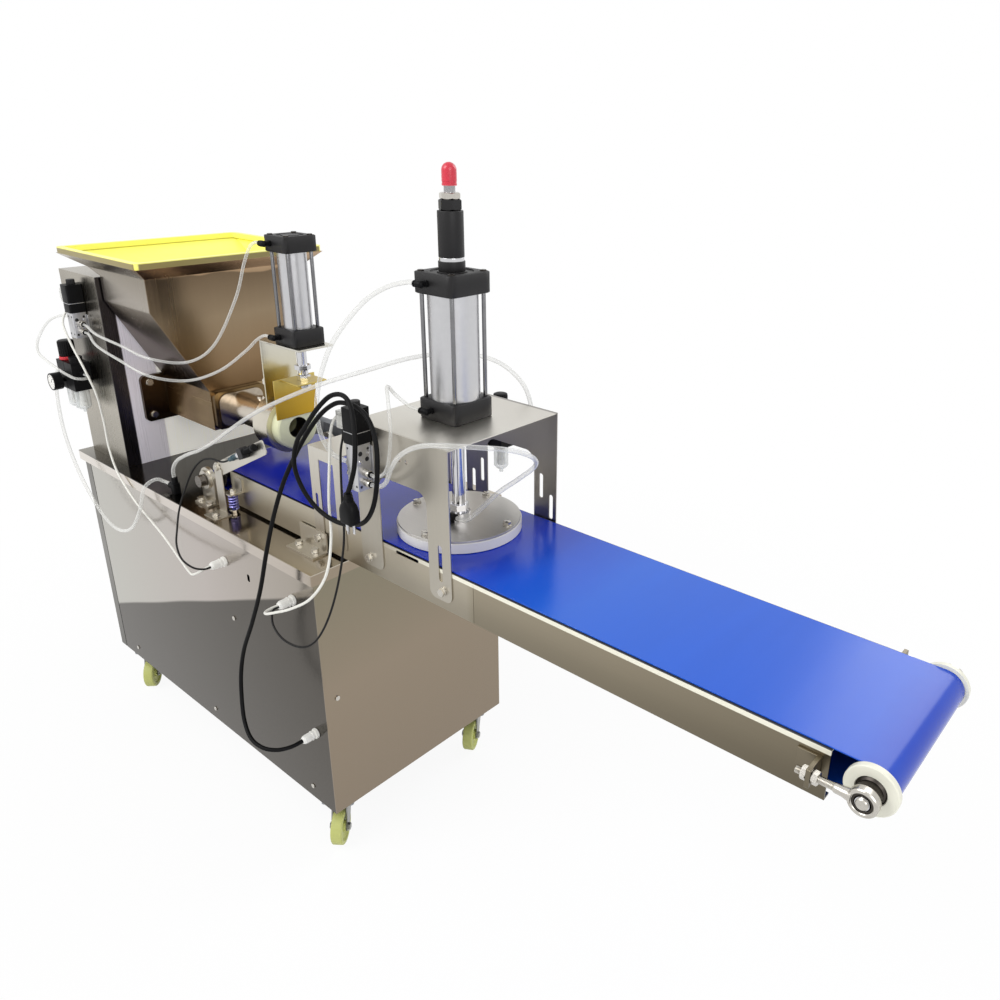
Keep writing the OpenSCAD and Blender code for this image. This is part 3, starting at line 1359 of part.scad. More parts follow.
// Middle of the whole part on the floor, without its cords
org = [(tx + disc_r - door_out - tray_over) / 2, (cab_w + tray_over + mod_y - mod_w / 2 - 26) / 2, 0];
echo(origin = org, tz = tz, az = az);

module put() {
  translate(-org) children();
}

put() cabinet_shell();
put() rear_door();
put() top_tray();
put() cabinet_screws();
put() cable_glands();
put() control_box();
put() caster_plates();
put() caster_fork(0);  // caster_fork_1
put() caster_fork(1);  // caster_fork_2
put() caster_fork(2);  // caster_fork_3
put() caster_fork(3);  // caster_fork_4
put() caster_wheel(0);  // caster_wheel_1
put() caster_wheel(1);  // caster_wheel_2
put() caster_wheel(2);  // caster_wheel_3
put() caster_wheel(3);  // caster_wheel_4
put() column_shell();
put() gear_motors();
put() feed_housing();
put() auger_left();
put() auger_right();
put() outlet_pipe();
put() nozzle_insert();
put() hopper_body();
put() hopper_liner();
put() cutter_bracket();
put() cylinder_caps();
put() cylinder_barrels();
put() cutter_rod();
put() cutter_blade();
put() conveyor_frame();
put() belt();
put() drive_roller();
put() tail_roller();
put() belt_tensioners();
put() conveyor_feet();
put() foot_springs();
put() hex_bolts();
put() gantry();
put() guide_portal();
put() press_rod();
put() press_stop();
put() press_sleeve();
put() press_plate();
put() press_pad();
put() press_bolts();
put() sensor_post();
put() sensor_arm();
put() feed_sensor();
put() valve_bodies();
put() valve_coils();
put() regulator_bodies();
put() filter_bowls();
put() preparer_knob();
put() regulator_knob();
put() air_tubes();
put() press_hose();
put() signal_cables();
put() sensor_cable();
put() mains_lead();
put() mains_plug();
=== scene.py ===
# %% [markdown]
# # A dough divider, dressed in Blender
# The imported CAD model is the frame: it gives every solid its place in metres, with the origin on
# the floor, +X along the belt and +Z up. This lesson hangs surfaces and finishes on that frame.
# Lengths are written in millimetres in the maker's own coordinates, where x = 0 is the cabinet's
# front face and y = 0 its near wall, and one function turns them into the frame's metres.

# %% Load the frame
import json
import math

import bmesh
import bpy
import numpy as np
from mathutils import Matrix, Vector

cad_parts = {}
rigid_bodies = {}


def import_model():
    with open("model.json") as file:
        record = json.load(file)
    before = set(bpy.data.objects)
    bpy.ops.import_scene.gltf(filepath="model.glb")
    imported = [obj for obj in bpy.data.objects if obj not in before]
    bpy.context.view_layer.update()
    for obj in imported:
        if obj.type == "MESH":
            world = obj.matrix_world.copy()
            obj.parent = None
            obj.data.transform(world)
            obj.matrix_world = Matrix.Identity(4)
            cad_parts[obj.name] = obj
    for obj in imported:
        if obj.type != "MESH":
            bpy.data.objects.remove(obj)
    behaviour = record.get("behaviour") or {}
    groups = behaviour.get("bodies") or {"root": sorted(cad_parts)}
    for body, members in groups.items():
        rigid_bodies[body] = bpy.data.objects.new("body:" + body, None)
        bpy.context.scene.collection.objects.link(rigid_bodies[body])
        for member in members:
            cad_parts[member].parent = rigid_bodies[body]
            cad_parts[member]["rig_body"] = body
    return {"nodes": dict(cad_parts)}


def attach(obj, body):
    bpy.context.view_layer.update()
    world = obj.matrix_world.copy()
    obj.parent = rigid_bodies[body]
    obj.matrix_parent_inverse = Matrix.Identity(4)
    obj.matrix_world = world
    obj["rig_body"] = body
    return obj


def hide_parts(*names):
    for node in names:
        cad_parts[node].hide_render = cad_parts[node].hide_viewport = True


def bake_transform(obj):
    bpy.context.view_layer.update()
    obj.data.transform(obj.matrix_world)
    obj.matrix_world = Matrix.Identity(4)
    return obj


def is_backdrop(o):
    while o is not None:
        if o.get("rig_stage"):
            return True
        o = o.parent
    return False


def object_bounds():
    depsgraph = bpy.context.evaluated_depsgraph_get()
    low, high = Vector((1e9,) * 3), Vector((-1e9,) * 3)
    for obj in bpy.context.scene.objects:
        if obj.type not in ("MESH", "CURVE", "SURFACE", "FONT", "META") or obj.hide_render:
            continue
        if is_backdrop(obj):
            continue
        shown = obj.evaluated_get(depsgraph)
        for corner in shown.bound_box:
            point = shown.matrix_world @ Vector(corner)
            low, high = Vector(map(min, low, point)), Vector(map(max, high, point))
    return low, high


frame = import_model()
cad_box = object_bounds()
ORIGIN = np.array([32.5, 216.0, 0.0])
TRAY = 663.0       # height of the tray's top
LINE = 198.0       # the line on which nozzle, cutter and press stand
NOZZLE_Z = 821.0   # height of the nozzle's axis


def metres(points):
    """Maker's millimetres to the frame's metres: (p - origin) / 1000."""
    return (np.asarray(points, float) - ORIGIN) / 1000.0


def row(axis, value):
    """The same for one coordinate."""
    return (value - ORIGIN["xyz".index(axis)]) / 1000.0


# %% [markdown]
# ## Camera
# The camera stands where the photographer stood: a little above the hopper, in front of the
# near corner. Its place and turn come from the cabinet's and the belt's long edges, which meet in
# two vanishing points. A small roll and a small shift are what was left over.

# %% Camera
AZIMUTH, ELEVATION, ROLL = (math.radians(a) for a in (39.61, 21.36, 0.913))
EYE = (1.1740, -0.9732, 1.4129)   # metres
SENSOR, FOCAL = 36.0, 0.84733     # millimetres, and widths of the sensor
SHIFT = (-0.0604, -0.0363)        # widths of the sensor
back = np.array([math.sin(AZIMUTH) * math.cos(ELEVATION), -math.cos(AZIMUTH) * math.cos(ELEVATION),
                 math.sin(ELEVATION)])
level = np.array([math.cos(AZIMUTH), math.sin(AZIMUTH), 0.0])
upright = np.cross(back, level)
right = math.cos(ROLL) * level + math.sin(ROLL) * upright
up = math.cos(ROLL) * upright - math.sin(ROLL) * level
lens = bpy.data.cameras.new("camera")
lens.sensor_width, lens.lens = SENSOR, SENSOR * FOCAL
lens.shift_x, lens.shift_y = SHIFT
lens.clip_end = 60.0
camera = bpy.data.objects.new("camera", lens)
turn = Matrix((right, up, back)).transposed().to_4x4()
camera.matrix_world = Matrix.Translation(EYE) @ turn
bpy.context.scene.collection.objects.link(camera)
bpy.context.scene.camera = camera
print("camera lens", round(lens.lens, 2), "mm")

# %% [markdown]
# ## Shader maths as Python expressions
# A material is a graph of nodes, and a formula in it is tedious to wire by hand. A small class
# wraps one output socket and overloads + - * and /, so that a mask reads like school algebra.
# Everything that isn't plain arithmetic comes from one method, `node`, which sets a node's
# settings first and then its sockets.


# %% Socket wrapper and material builder
class Value:
    """A number on an output socket. An operator adds one Math node and gives its result."""

    def __init__(self, graph, socket):
        self.graph, self.socket = graph, socket

    def math(self, operation, *others):
        node = self.graph.node("ShaderNodeMath", {"operation": operation},
                               dict(enumerate((self,) + others)))
        return Value(self.graph, node.outputs[0])

    def __add__(self, other):
        return self.math("ADD", other)

    def __mul__(self, other):
        return self.math("MULTIPLY", other)

    def __sub__(self, other):
        return self.math("SUBTRACT", other)

    def __truediv__(self, other):
        return self.math("DIVIDE", other)

    def __rsub__(self, other):
        return self.math("MULTIPLY_ADD", -1.0, other)

    def clip(self):
        """Held between 0 and 1."""
        return self.math("ADD", 0.0).clamped()

    def clamped(self):
        self.socket.node.use_clamp = True
        return self

    def step(self, low, high):
        """0 below low, 1 above high, and a smooth S between them."""
        node = self.graph.node("ShaderNodeMapRange", {"interpolation_type": "SMOOTHSTEP"},
                               {0: self, 1: low, 2: high, 3: 0.0, 4: 1.0})
        return Value(self.graph, node.outputs[0])

    __radd__, __rmul__ = __add__, __mul__


class Graph:
    """The nodes of one tree, the world's or a material's."""

    def __init__(self, tree):
        self.nodes, self.links = tree.nodes, tree.links

    def put(self, socket, value):
        """Link a socket, or set its own value."""
        if isinstance(value, Value):
            value = value.socket
        if isinstance(value, bpy.types.NodeSocket):
            self.links.new(value, socket)
        elif hasattr(value, "__len__"):
            socket.default_value = value[:len(socket.default_value)]
        else:
            socket.default_value = value

    def node(self, kind, settings=None, inputs=None):
        """Any node: its settings first, a ramp's stops among them, then its sockets."""
        node = self.nodes.new(kind)
        for key, value in (settings or {}).items():
            if key == "stops":
                ends = node.color_ramp.elements
                ends[0].position, ends[1].position = value[0][0], value[-1][0]
                ends[0].color, ends[1].color = (*value[0][1], 1.0), (*value[-1][1], 1.0)
                for place, colour in value[1:-1]:
                    ends.new(place).color = (*colour, 1.0)
            else:
                setattr(node, key, value)
        for key, value in (inputs or {}).items():
            self.put(node.inputs[key], value)
        return node

    def seen(self):
        """1 for the camera's own rays and for those that a mirror or a clear piece sends on."""
        path = self.node("ShaderNodeLightPath")
        direct, glossy, through = (Value(self, path.outputs[f"Is {kind} Ray"])
                                   for kind in ("Camera", "Glossy", "Transmission"))
        return (direct + glossy + through).clamped()


class Finish(Graph):
    """A material being built around one Principled shader."""

    def __init__(self, name):
        self.material = bpy.data.materials.new(name)
        self.material.use_nodes = True
        super().__init__(self.material.node_tree)
        self.shader = self.nodes["Principled BSDF"]
        self.frames = {}

    def place(self, scale=(1.0, 1.0, 1.0)):
        """Object coordinates in metres, stretched by a scale."""
        if scale not in self.frames:
            coord = self.node("ShaderNodeTexCoord")
            mapped = self.node("ShaderNodeMapping", {}, {"Vector": coord.outputs["Object"],
                                                         "Scale": scale})
            self.frames[scale] = mapped.outputs[0]
        return self.frames[scale]

    def axis(self, letter):
        """One object coordinate as a number, in metres."""
        split = self.node("ShaderNodeSeparateXYZ", {}, {0: self.place()})
        return Value(self, split.outputs["xyz".index(letter)])

    def past(self, letter, low, high):
        """0 before low and 1 past high along an axis, both in the maker's millimetres."""
        return self.axis(letter).step(row(letter, low), row(letter, high))

    def noise(self, size, stretch=(1.0, 1.0, 1.0), detail=3.0, rough=0.55):
        """Noise from 0 to 1 whose grain is about `size` metres, longer where stretch is small."""
        node = self.node("ShaderNodeTexNoise", {}, {"Vector": self.place(stretch),
                         "Scale": 1.0 / size, "Detail": detail, "Roughness": rough})
        return Value(self, node.outputs[0])

    def mix(self, factor, one, two):
        """Colour mix: one where factor is 0, two where it is 1."""
        node = self.node("ShaderNodeMix", {"data_type": "RGBA"}, {0: factor, 6: one, 7: two})
        return node.outputs[2]

    def bump(self, height, distance):
        """A bump of `distance` metres at height 1, into the shader's normal."""
        node = self.node("ShaderNodeBump", {}, {"Height": height, "Distance": distance,
                                                "Strength": 1.0})
        self.put(self.shader.inputs["Normal"], node.outputs[0])

    def set(self, **sockets):
        """Shader sockets by name, with _ for the blanks."""
        for key, value in sockets.items():
            self.put(self.shader.inputs[key.replace("_", " ")], value)
        return self


def srgb(red, green, blue):
    """A screen colour of 0 to 255 as the linear colour a shader wants."""
    c = np.array([red, green, blue], float) / 255.0
    c = np.where(c <= 0.04045, c / 12.92, ((c + 0.055) / 1.055) ** 2.4)
    return (*map(float, c), 1.0)


# %% [markdown]
# ## Studio
# The product stands on a seamless white sweep. The floor is a plain pale sheet that shows pure
# white to the camera and to reflections, and still takes a faint contact shadow. One large key
# lamp and two fills, all soft, give the metal its long gradients.


# %% Floor, world and lamps
WHITE, ROOM_LIGHT = (1, 1, 1, 1), 0.62
AIM = Vector((0.1, 0.0, 0.75))
LAMPS = (("key", (-1.2, -3.0, 3.6), 2.6, 95.0),
         ("fill", (3.6, -1.6, 2.6), 2.2, 42.0),
         ("rim", (1.0, 3.4, 3.0), 2.4, 45.0))


def white_floor(size=14.0):
    """Sheet whose contact shadow fades out between 1.1 and 2.2 m from the middle. The squares of
    these are the borders of `far`."""
    mesh = bpy.data.meshes.new("floor")
    mesh.from_pydata([(-size, -size, 0), (size, -size, 0), (size, size, 0), (-size, size, 0)], [],
                     [(0, 1, 2, 3)])
    floor = bpy.data.objects.new("floor", mesh)
    bpy.context.scene.collection.objects.link(floor)
    f = Finish("floor_white")
    f.set(Base_Color=(0.92, 0.92, 0.92, 1), Roughness=0.9)
    glow = f.node("ShaderNodeEmission", {}, {"Color": WHITE, "Strength": 1.0})
    far = (f.axis("x") * f.axis("x") + f.axis("y") * f.axis("y")).step(1.2, 5.0)
    both = f.node("ShaderNodeMixShader", {}, {0: f.seen() * (far * 0.08 + 0.92),
                                              1: f.shader.outputs[0], 2: glow.outputs[0]})
    f.put(f.nodes["Material Output"].inputs["Surface"], both.outputs[0])
    mesh.materials.append(f.material)
    floor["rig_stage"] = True


def white_world():
    """Dim white room, which is pure white where the camera sees it."""
    world = bpy.data.worlds.new("world")
    bpy.context.scene.world = world
    world.use_nodes = True
    g = Graph(world.node_tree)
    room = g.nodes["Background"]
    g.put(room.inputs["Color"], WHITE)
    g.put(room.inputs["Strength"], ROOM_LIGHT)
    white = g.node("ShaderNodeBackground", {}, {"Color": WHITE, "Strength": 1.0})
    both = g.node("ShaderNodeMixShader", {}, {0: g.seen(), 1: room.outputs[0],
                                              2: white.outputs[0]})
    g.put(g.nodes["World Output"].inputs["Surface"], both.outputs[0])


def soft_lamp(name, place, width, power):
    """Square lamp that looks at the machine's middle."""
    lamp = bpy.data.lights.new(name, "AREA")
    lamp.shape, lamp.size, lamp.energy = "SQUARE", width, power
    holder = bpy.data.objects.new(name, lamp)
    holder.location = place
    holder.rotation_euler = (AIM - Vector(place)).to_track_quat("-Z", "Y").to_euler()
    bpy.context.scene.collection.objects.link(holder)


white_floor()
white_world()
for lamp in LAMPS:
    soft_lamp(*lamp)
bpy.context.scene.view_settings.view_transform = "Standard"
print("studio ready")

# %% [markdown]
# ## Meshes from arrays
# Almost every new piece is a grid: one parameter runs along a profile or a path and the other
# runs round it. The helpers work out all the points at once and give back a plain pair, points
# and faces, so that several shapes can be joined before one mesh is made of them.


# %% Grid, turned, extruded and swept shapes
def grid(points, caps=True):
    """Faces of a grid of points (rows, columns, 3), whose columns close into a ring."""
    rows, cols = points.shape[:2]
    i, j = np.meshgrid(np.arange(rows - 1), np.arange(cols), indexing="ij")
    k = (j + 1) % cols
    faces = np.stack([i * cols + j, i * cols + k, (i + 1) * cols + k, (i + 1) * cols + j], -1)
    faces = [tuple(f) for f in faces.reshape(-1, 4).tolist()]
    if caps:
        faces.append(tuple(range(cols - 1, -1, -1)))
        faces.append(tuple(range((rows - 1) * cols, rows * cols)))
    return points.reshape(-1, 3), faces


def looped(points):
    """A grid whose last row joins its first, as in a ring."""
    rows, sides = points.shape[:2]
    flat, faces = grid(points, caps=False)
    last, k = (rows - 1) * sides, np.arange(sides)
    n = (k + 1) % sides
    return flat, faces + [tuple(f) for f in np.stack([last + k, last + n, n, k], -1).tolist()]


def axes(direction):
    """Two unit vectors square to a direction, so that one x two points along it."""
    a = np.asarray(direction, float)
    a = a / np.linalg.norm(a)
    helper = np.array([0.0, 0, 1]) if abs(a[2]) < 0.9 else np.array([1.0, 0, 0])
    one = np.cross(helper, a)
    one /= np.linalg.norm(one)
    return one, np.cross(a, one), a


def turned(profile, place, direction=(0, 0, 1), sides=48, bore=False):
    """Solid of revolution: p = place + r (cos t e1 + sin t e2) + h a for each (r, h) in the
    profile, listed from the foot to the top. With a bore, the profile is a closed loop."""
    one, two, along = axes(direction)
    t = np.linspace(0, 2 * np.pi, sides, endpoint=False)
    r, h = np.asarray(list(profile) + ([profile[0]] if bore else []), float).T
    ring = np.cos(t)[:, None] * one + np.sin(t)[:, None] * two
    points = np.asarray(place, float) + r[:, None, None] * ring + (h[:, None] * along)[:, None, :]
    return looped(points[:-1]) if bore else grid(points)


def peg(r, low, high, edge, place, direction=(0, 0, 1), sides=48):
    """Rod from low to high with both rims rounded by a quarter circle."""
    a = np.linspace(0, np.pi / 2, 4)
    below = [(r - edge + edge * math.sin(x), low + edge - edge * math.cos(x)) for x in a]
    above = [(r - edge + edge * math.cos(x), high - edge + edge * math.sin(x)) for x in a]
    return turned(below + above, place, direction, sides)


def extruded(outline, low, high, direction="z"):
    """A flat outline carried along an axis. The outline's two numbers are the other two axes in
    the order x, y, z, and a loop that runs backwards is turned round."""
    outline = np.asarray(outline, float)
    u, v = outline.T
    area = np.sum(u * np.roll(v, -1) - np.roll(u, -1) * v)
    if (area < 0) != (direction == "y"):
        outline = outline[::-1]
    axis = "xyz".index(direction)
    others = [k for k in range(3) if k != axis]
    points = np.zeros((2, len(outline), 3))
    points[:, :, others] = outline
    points[0, :, axis], points[1, :, axis] = low, high
    return grid(points)


def block(x0, x1, y0, y1, z0, z1):
    """Box between two corners."""
    return extruded([(x0, y0), (x1, y0), (x1, y1), (x0, y1)], z0, z1)


def round_rect(x0, x1, y0, y1, radius):
    """Outline of a rectangle with quarter-circle corners."""
    a = np.linspace(0, np.pi / 2, 5)
    corners = ((x1 - radius, y0 + radius, -90), (x1 - radius, y1 - radius, 0),
               (x0 + radius, y1 - radius, 90), (x0 + radius, y0 + radius, 180))
    turns = [(cx, cy, t + math.radians(s)) for cx, cy, s in corners for t in a]
    return [(cx + radius * math.cos(t), cy + radius * math.sin(t)) for cx, cy, t in turns]


def hexagon(across, low, high, place, direction=(0, 0, 1)):
    """Hexagon head or nut. The radius at angle t is rho = across / 2 / cos(t mod 60 - 30), and
    the corners are turned down by (rho - 0.95 across / 2) tan 30."""
    t = np.linspace(0, 2 * np.pi, 48, endpoint=False)
    rho = across / 2 / np.cos((t % (np.pi / 3)) - np.pi / 6)
    flat = 0.95 * across / 2
    drop = np.maximum(0, rho - flat) * math.tan(math.radians(30))
    rows = [(flat, low), (rho, low + drop), (rho, high - drop), (flat, high)]
    return stacked(rows, place, direction)


def squarish(half, n=14):
    """Radius at each angle of |x|^n + |y|^n = half^n: a square whose corners are eased."""
    t = np.linspace(0, 2 * np.pi, 72, endpoint=False)
    return half / (np.abs(np.cos(t)) ** n + np.abs(np.sin(t)) ** n) ** (1 / n)


def ridged(r, count, depth):
    """Radius at each angle t of a grip with `count` ridges: r - depth (1 - |sin(count t / 2)|^3)."""
    t = np.linspace(0, 2 * np.pi, 8 * count, endpoint=False)
    return r - depth * (1 - np.abs(np.sin(count * t / 2)) ** 3)


def stacked(rows, place, direction=(0, 0, 1)):
    """A solid through outlines. Each is a radius and a height, one number or one for each angle."""
    one, two, along = axes(direction)
    t = np.linspace(0, 2 * np.pi, max(np.size(r) for r, _ in rows), endpoint=False)
    ring = np.cos(t)[:, None] * one + np.sin(t)[:, None] * two
    r, h = (np.stack([np.broadcast_to(v, t.shape) for v in each]) for each in zip(*rows))
    return grid(np.asarray(place, float) + r[:, :, None] * ring + h[:, :, None] * along)


def threaded(r, low, high, place, direction=(0, 0, 1)):
    """Threaded rod, as a stack of ridges 0.6 mm deep: a crest and a root for each 1.5 mm."""
    turns = max(2, int((high - low) / 1.5))
    h = np.linspace(low, high, 2 * turns + 1)
    return turned(list(zip(np.where(np.arange(len(h)) % 2, r, r - 0.6), h)), place, direction, 24)


def swept(path, radius):
    """Round tube along a path. Each ring's side vector is the last one's, laid square to the
    new direction, so that the tube doesn't twist."""
    path = np.asarray(path, float)
    along = np.gradient(path, axis=0)
    along /= np.linalg.norm(along, axis=1)[:, None]
    side = [axes(along[0])[0]]
    for direction in along[1:]:
        u = side[-1] - direction * (side[-1] @ direction)
        side.append(u / np.linalg.norm(u))
    side = np.array(side)[:, None, :]
    t = np.linspace(0, 2 * np.pi, 16, endpoint=False)[None, :, None]
    ring = np.cos(t) * side + np.sin(t) * np.cross(along, side[:, 0])[:, None, :]
    return grid(path[:, None, :] + radius * ring)


def mirrored(shape):
    """The same shape on the other side of the working line, with its faces turned back."""
    points, faces = shape
    points = points.copy()
    points[:, 1] = 2 * LINE - points[:, 1]
    return points, [f[::-1] for f in faces]


def joined(*shapes):
    """Several shapes as one."""
    points, faces, count = [], [], 0
    for p, f in shapes:
        points.append(p)
        faces += [tuple(i + count for i in face) for face in f]
        count += len(p)
    return np.concatenate(points), faces


# %% [markdown]
# ## From a shape to a piece
# A piece is a mesh at the origin with its place in its points, a finish, a body that it rides on
# and, where it stands for a solid of the frame, that solid's name. Corners sharper than 35 degrees
# stay sharp. A sheet or a casting has no knife edges, so a small Bevel gives each a highlight.


def piece(name, shape, finish, node, stands=False, bevel=0.0, smooth=35.0):
    """A mesh from a shape in maker's millimetres. It rides with the body of a node, and where it
    `stands` for the node's solid, that solid is hidden."""
    points, faces = shape
    mesh = bpy.data.meshes.new(name)
    mesh.from_pydata(metres(points).tolist(), [], faces)
    return settle(name, mesh, finish, node, stands, bevel, smooth)


def settle(name, mesh, finish, node, stands, bevel, smooth):
    """Shade, finish, bevel and place a mesh that is already in metres."""
    mesh.shade_smooth()
    mesh.set_sharp_from_angle(angle=math.radians(smooth))
    made = bpy.data.objects.new(name, mesh)
    bpy.context.scene.collection.objects.link(made)
    mesh.materials.append(finish)
    if bevel:
        edge = made.modifiers.new("edges", "BEVEL")
        edge.width, edge.segments, edge.limit_method = bevel / 1000, 2, "ANGLE"
        edge.angle_limit, edge.harden_normals = math.radians(smooth), True
    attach(made, frame["nodes"][node]["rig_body"])
    if stands:
        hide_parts(node)
    return made


def softened(node, finish, bevel):
    """A copy of a solid with its loose triangles merged and its edges eased."""
    tidy = bmesh.new()
    tidy.from_mesh(frame["nodes"][node].data)
    bmesh.ops.remove_doubles(tidy, verts=tidy.verts, dist=1e-6)
    bmesh.ops.dissolve_limit(tidy, angle_limit=math.radians(1.0), verts=tidy.verts,
                             edges=tidy.edges)
    mesh = bpy.data.meshes.new(node + "_eased")
    tidy.to_mesh(mesh)
    tidy.free()
    return settle(node + "_eased", mesh, finish, node, True, bevel, 35.0)


# %% [markdown]
# ## Steel
# Sheet steel has no colour of its own: it shows the room. A plain grey metal in a white studio
# looks like paper, so the finish paints the room's reflections and shade into its colour as a slow
# change of tone over the panel, and adds the brush lines of the rolling mill and a roughness that
# follows them.
# The brush lines are noise that is stretched fifty times along one axis.

# %% Steel finishes
STRETCH = {"x": (0.02, 1.0, 1.0), "y": (1.0, 0.02, 1.0), "z": (1.0, 1.0, 0.02)}


def scaled(f, colour, factor):
    """A colour times a number."""
    node = f.node("ShaderNodeVectorMath", {"operation": "SCALE"}, {0: colour, "Scale": factor})
    return node.outputs[0]


def tones(f, axis, stops, cloud=0.06, size=0.22):
    """Colours by place along an axis, with which the finishes paint reflections and shade. The stops
    are (millimetre, colour), and the borders are bent by slow noise, as a dull reflection's are."""
    low, high = row(axis, stops[0][0]), row(axis, stops[-1][0])
    place = (f.axis(axis) - low) / (high - low)
    if cloud:
        place = place + (f.noise(size, detail=2.0) - 0.5) * cloud
    span = stops[-1][0] - stops[0][0]
    marks = [((at - stops[0][0]) / span, srgb(*colour)[:3]) for at, colour in stops]
    return f.node("ShaderNodeValToRGB", {"stops": marks}, {0: place.clip()}).outputs[0]


def brushed(f, colour, brush, rough, streak, grain=0.0022):
    """Brush lines over a colour: tone, roughness and a shallow bump from one stretched noise."""
    fine = f.noise(grain, STRETCH[brush], 3.0, 0.6)
    wide = f.noise(grain * 9, STRETCH[brush], 2.0)
    line = fine * 0.6 + wide * 0.4
    f.set(Base_Color=scaled(f, colour, line * (2 * streak) + (1 - streak)),
          Roughness=line * (rough[1] - rough[0]) + rough[0], Metallic=1.0)
    f.bump(fine, 0.00004)
    return f


def steel(name, axis, stops, brush, rough=(0.22, 0.42), streak=0.10, cloud=0.08):
    """Sheet steel with brush lines and a slow change of tone that paints reflections and shade."""
    f = Finish(name)
    return brushed(f, tones(f, axis, stops, cloud), brush, rough, streak).material


def rail_steel(name):
    """Conveyor frame: warm sides with a painted reflection, darker beyond the seam, painted shade
    below, a painted highlight along their top from the press on, and a painted shadow beside the
    belt."""
    f = Finish(name)
    # Painted reflection: the sides darken along the belt towards the tail.
    sides = tones(f, "x", [(-375, (190, 184, 168)), (60, (176, 168, 152)), (330, (168, 160, 144)),
                           (345, (156, 148, 130)), (348, (150, 141, 123)), (620, (140, 131, 113)),
                           (943, (116, 108, 92))], 0.0)
    # Painted shade: the sides are darker towards the bottom.
    sides = scaled(f, sides, f.past("z", 669, 738) * 0.3 + 0.8)
    # Painted highlight: the top band of the sides turns pale cream and less metallic from the press
    # on.
    edge = f.past("z", 734.4, 735.4) * f.past("x", 60, 330)
    colour = f.mix(edge, sides, srgb(232, 229, 212))
    # Painted shadow: the top face beside the belt is dark.
    colour = f.mix(f.past("z", 742.2, 742.6), colour, srgb(52, 49, 43))
    brushed(f, colour, "x", (0.26, 0.4), 0.05)
    return f.set(Metallic=1 - edge * 0.9).material


def tray_steel(name):
    """Tray: a painted reflection, dark beside the column and paler towards the front, and a lip with
    a painted highlight that fades towards the front.
    """
    f = Finish(name)
    # Painted reflections: the top is dark beside the column and paler to the front; the lip is
    # bright at the back.
    top = tones(f, "x", [(-963, (140, 136, 126)), (-760, (38, 35, 30)), (-520, (56, 50, 42)),
                         (-330, (150, 138, 122)), (8, (188, 180, 166))], 0.06)
    lip = tones(f, "x", [(-963, (226, 220, 212)), (-500, (208, 200, 192)), (-20, (184, 174, 163)),
                         (4, (172, 162, 148)), (8, (152, 139, 122))], 0.0)
    fold = f.past("z", 660.5, 662.0)
    return brushed(f, f.mix(fold, lip, top), "x", (0.08, 0.2), 0.06).material


def outlet_steel(name):
    """End plate painted in brown shade, and a pale pipe and ring with painted shade below."""
    f = Finish(name)
    # Painted shade and reflection: the end plate dark brown, the pipe and ring pale.
    along = tones(f, "x", [(-540, (120, 98, 66)), (-526, (112, 92, 62)), (-524, (216, 207, 194)),
                           (-390, (206, 197, 184)), (-385, (214, 208, 194)),
                           (-333, (206, 200, 186))], 0.0)
    # Painted shade: the pipe and ring darken towards the bottom.
    light = f.past("z", 770.0, 832.0) * 0.6 + 0.4
    return brushed(f, scaled(f, along, light), "z", (0.14, 0.3), 0.08).material


def cabinet_steel(name):
    """Polished cabinet: the near side has a painted reflection of a pale room above a dark speckled
    floor, the far side the same painted reflection with a soft border, and the front an even warm
    grey."""
    f = Finish(name)
    # Painted reflection: a sloping border parts a dark speckled floor below from a pale room above.
    wander = (f.noise(0.5, detail=1.0) - 0.5) * 0.02
    border = f.axis("z") - f.axis("x") * 0.40 - 0.623 + wander
    speckle = f.noise(0.006, detail=4.0, rough=0.7)
    dark = scaled(f, srgb(76, 71, 64), speckle * 0.5 + 0.75)
    pale = tones(f, "x", [(-925, (186, 184, 176)), (-420, (184, 176, 170)), (0, (160, 152, 140))])
    near = 1 - f.past("y", 2.0, 20.0)
    crisp, soft = border.step(-0.004, 0.004), border.step(-0.2, 0.2)
    side = f.mix(crisp * near + soft * (1 - near), dark, pale)
    front = tones(f, "z", [(105, (141, 128, 112)), (400, (148, 135, 118)), (661, (134, 128, 110))])
    face = f.past("x", -3.0, -1.0)
    return brushed(f, f.mix(face, side, front), "z", (0.14, 0.26), 0.03).material


def hopper_steel(name):
    """Hopper sheet: a painted warm reflection on the front, and painted shade on the slanted sides
    under a band with a painted highlight.
    """
    f = Finish(name)
    # Painted reflections and shade: warm tones on the front, dark slanted sides, a pale band below
    # the rim.
    front = tones(f, "z", [(866, (112, 88, 60)), (930, (136, 112, 84)), (1030, (144, 126, 102)),
                           (1121, (112, 95, 75)), (1124, (160, 135, 107)), (1150, (192, 162, 130))],
                  0.2, 0.16)
    side = tones(f, "z", [(866, (88, 76, 62)), (980, (112, 100, 86)), (1052, (106, 95, 82)),
                          (1057, (166, 158, 147)), (1123, (150, 143, 132)),
                          (1150, (178, 170, 158))], 0.004, 0.3)
    face = f.past("x", -543.5, -542.0)
    return brushed(f, f.mix(face, side, front), "z", (0.16, 0.34), 0.10, 0.004).material


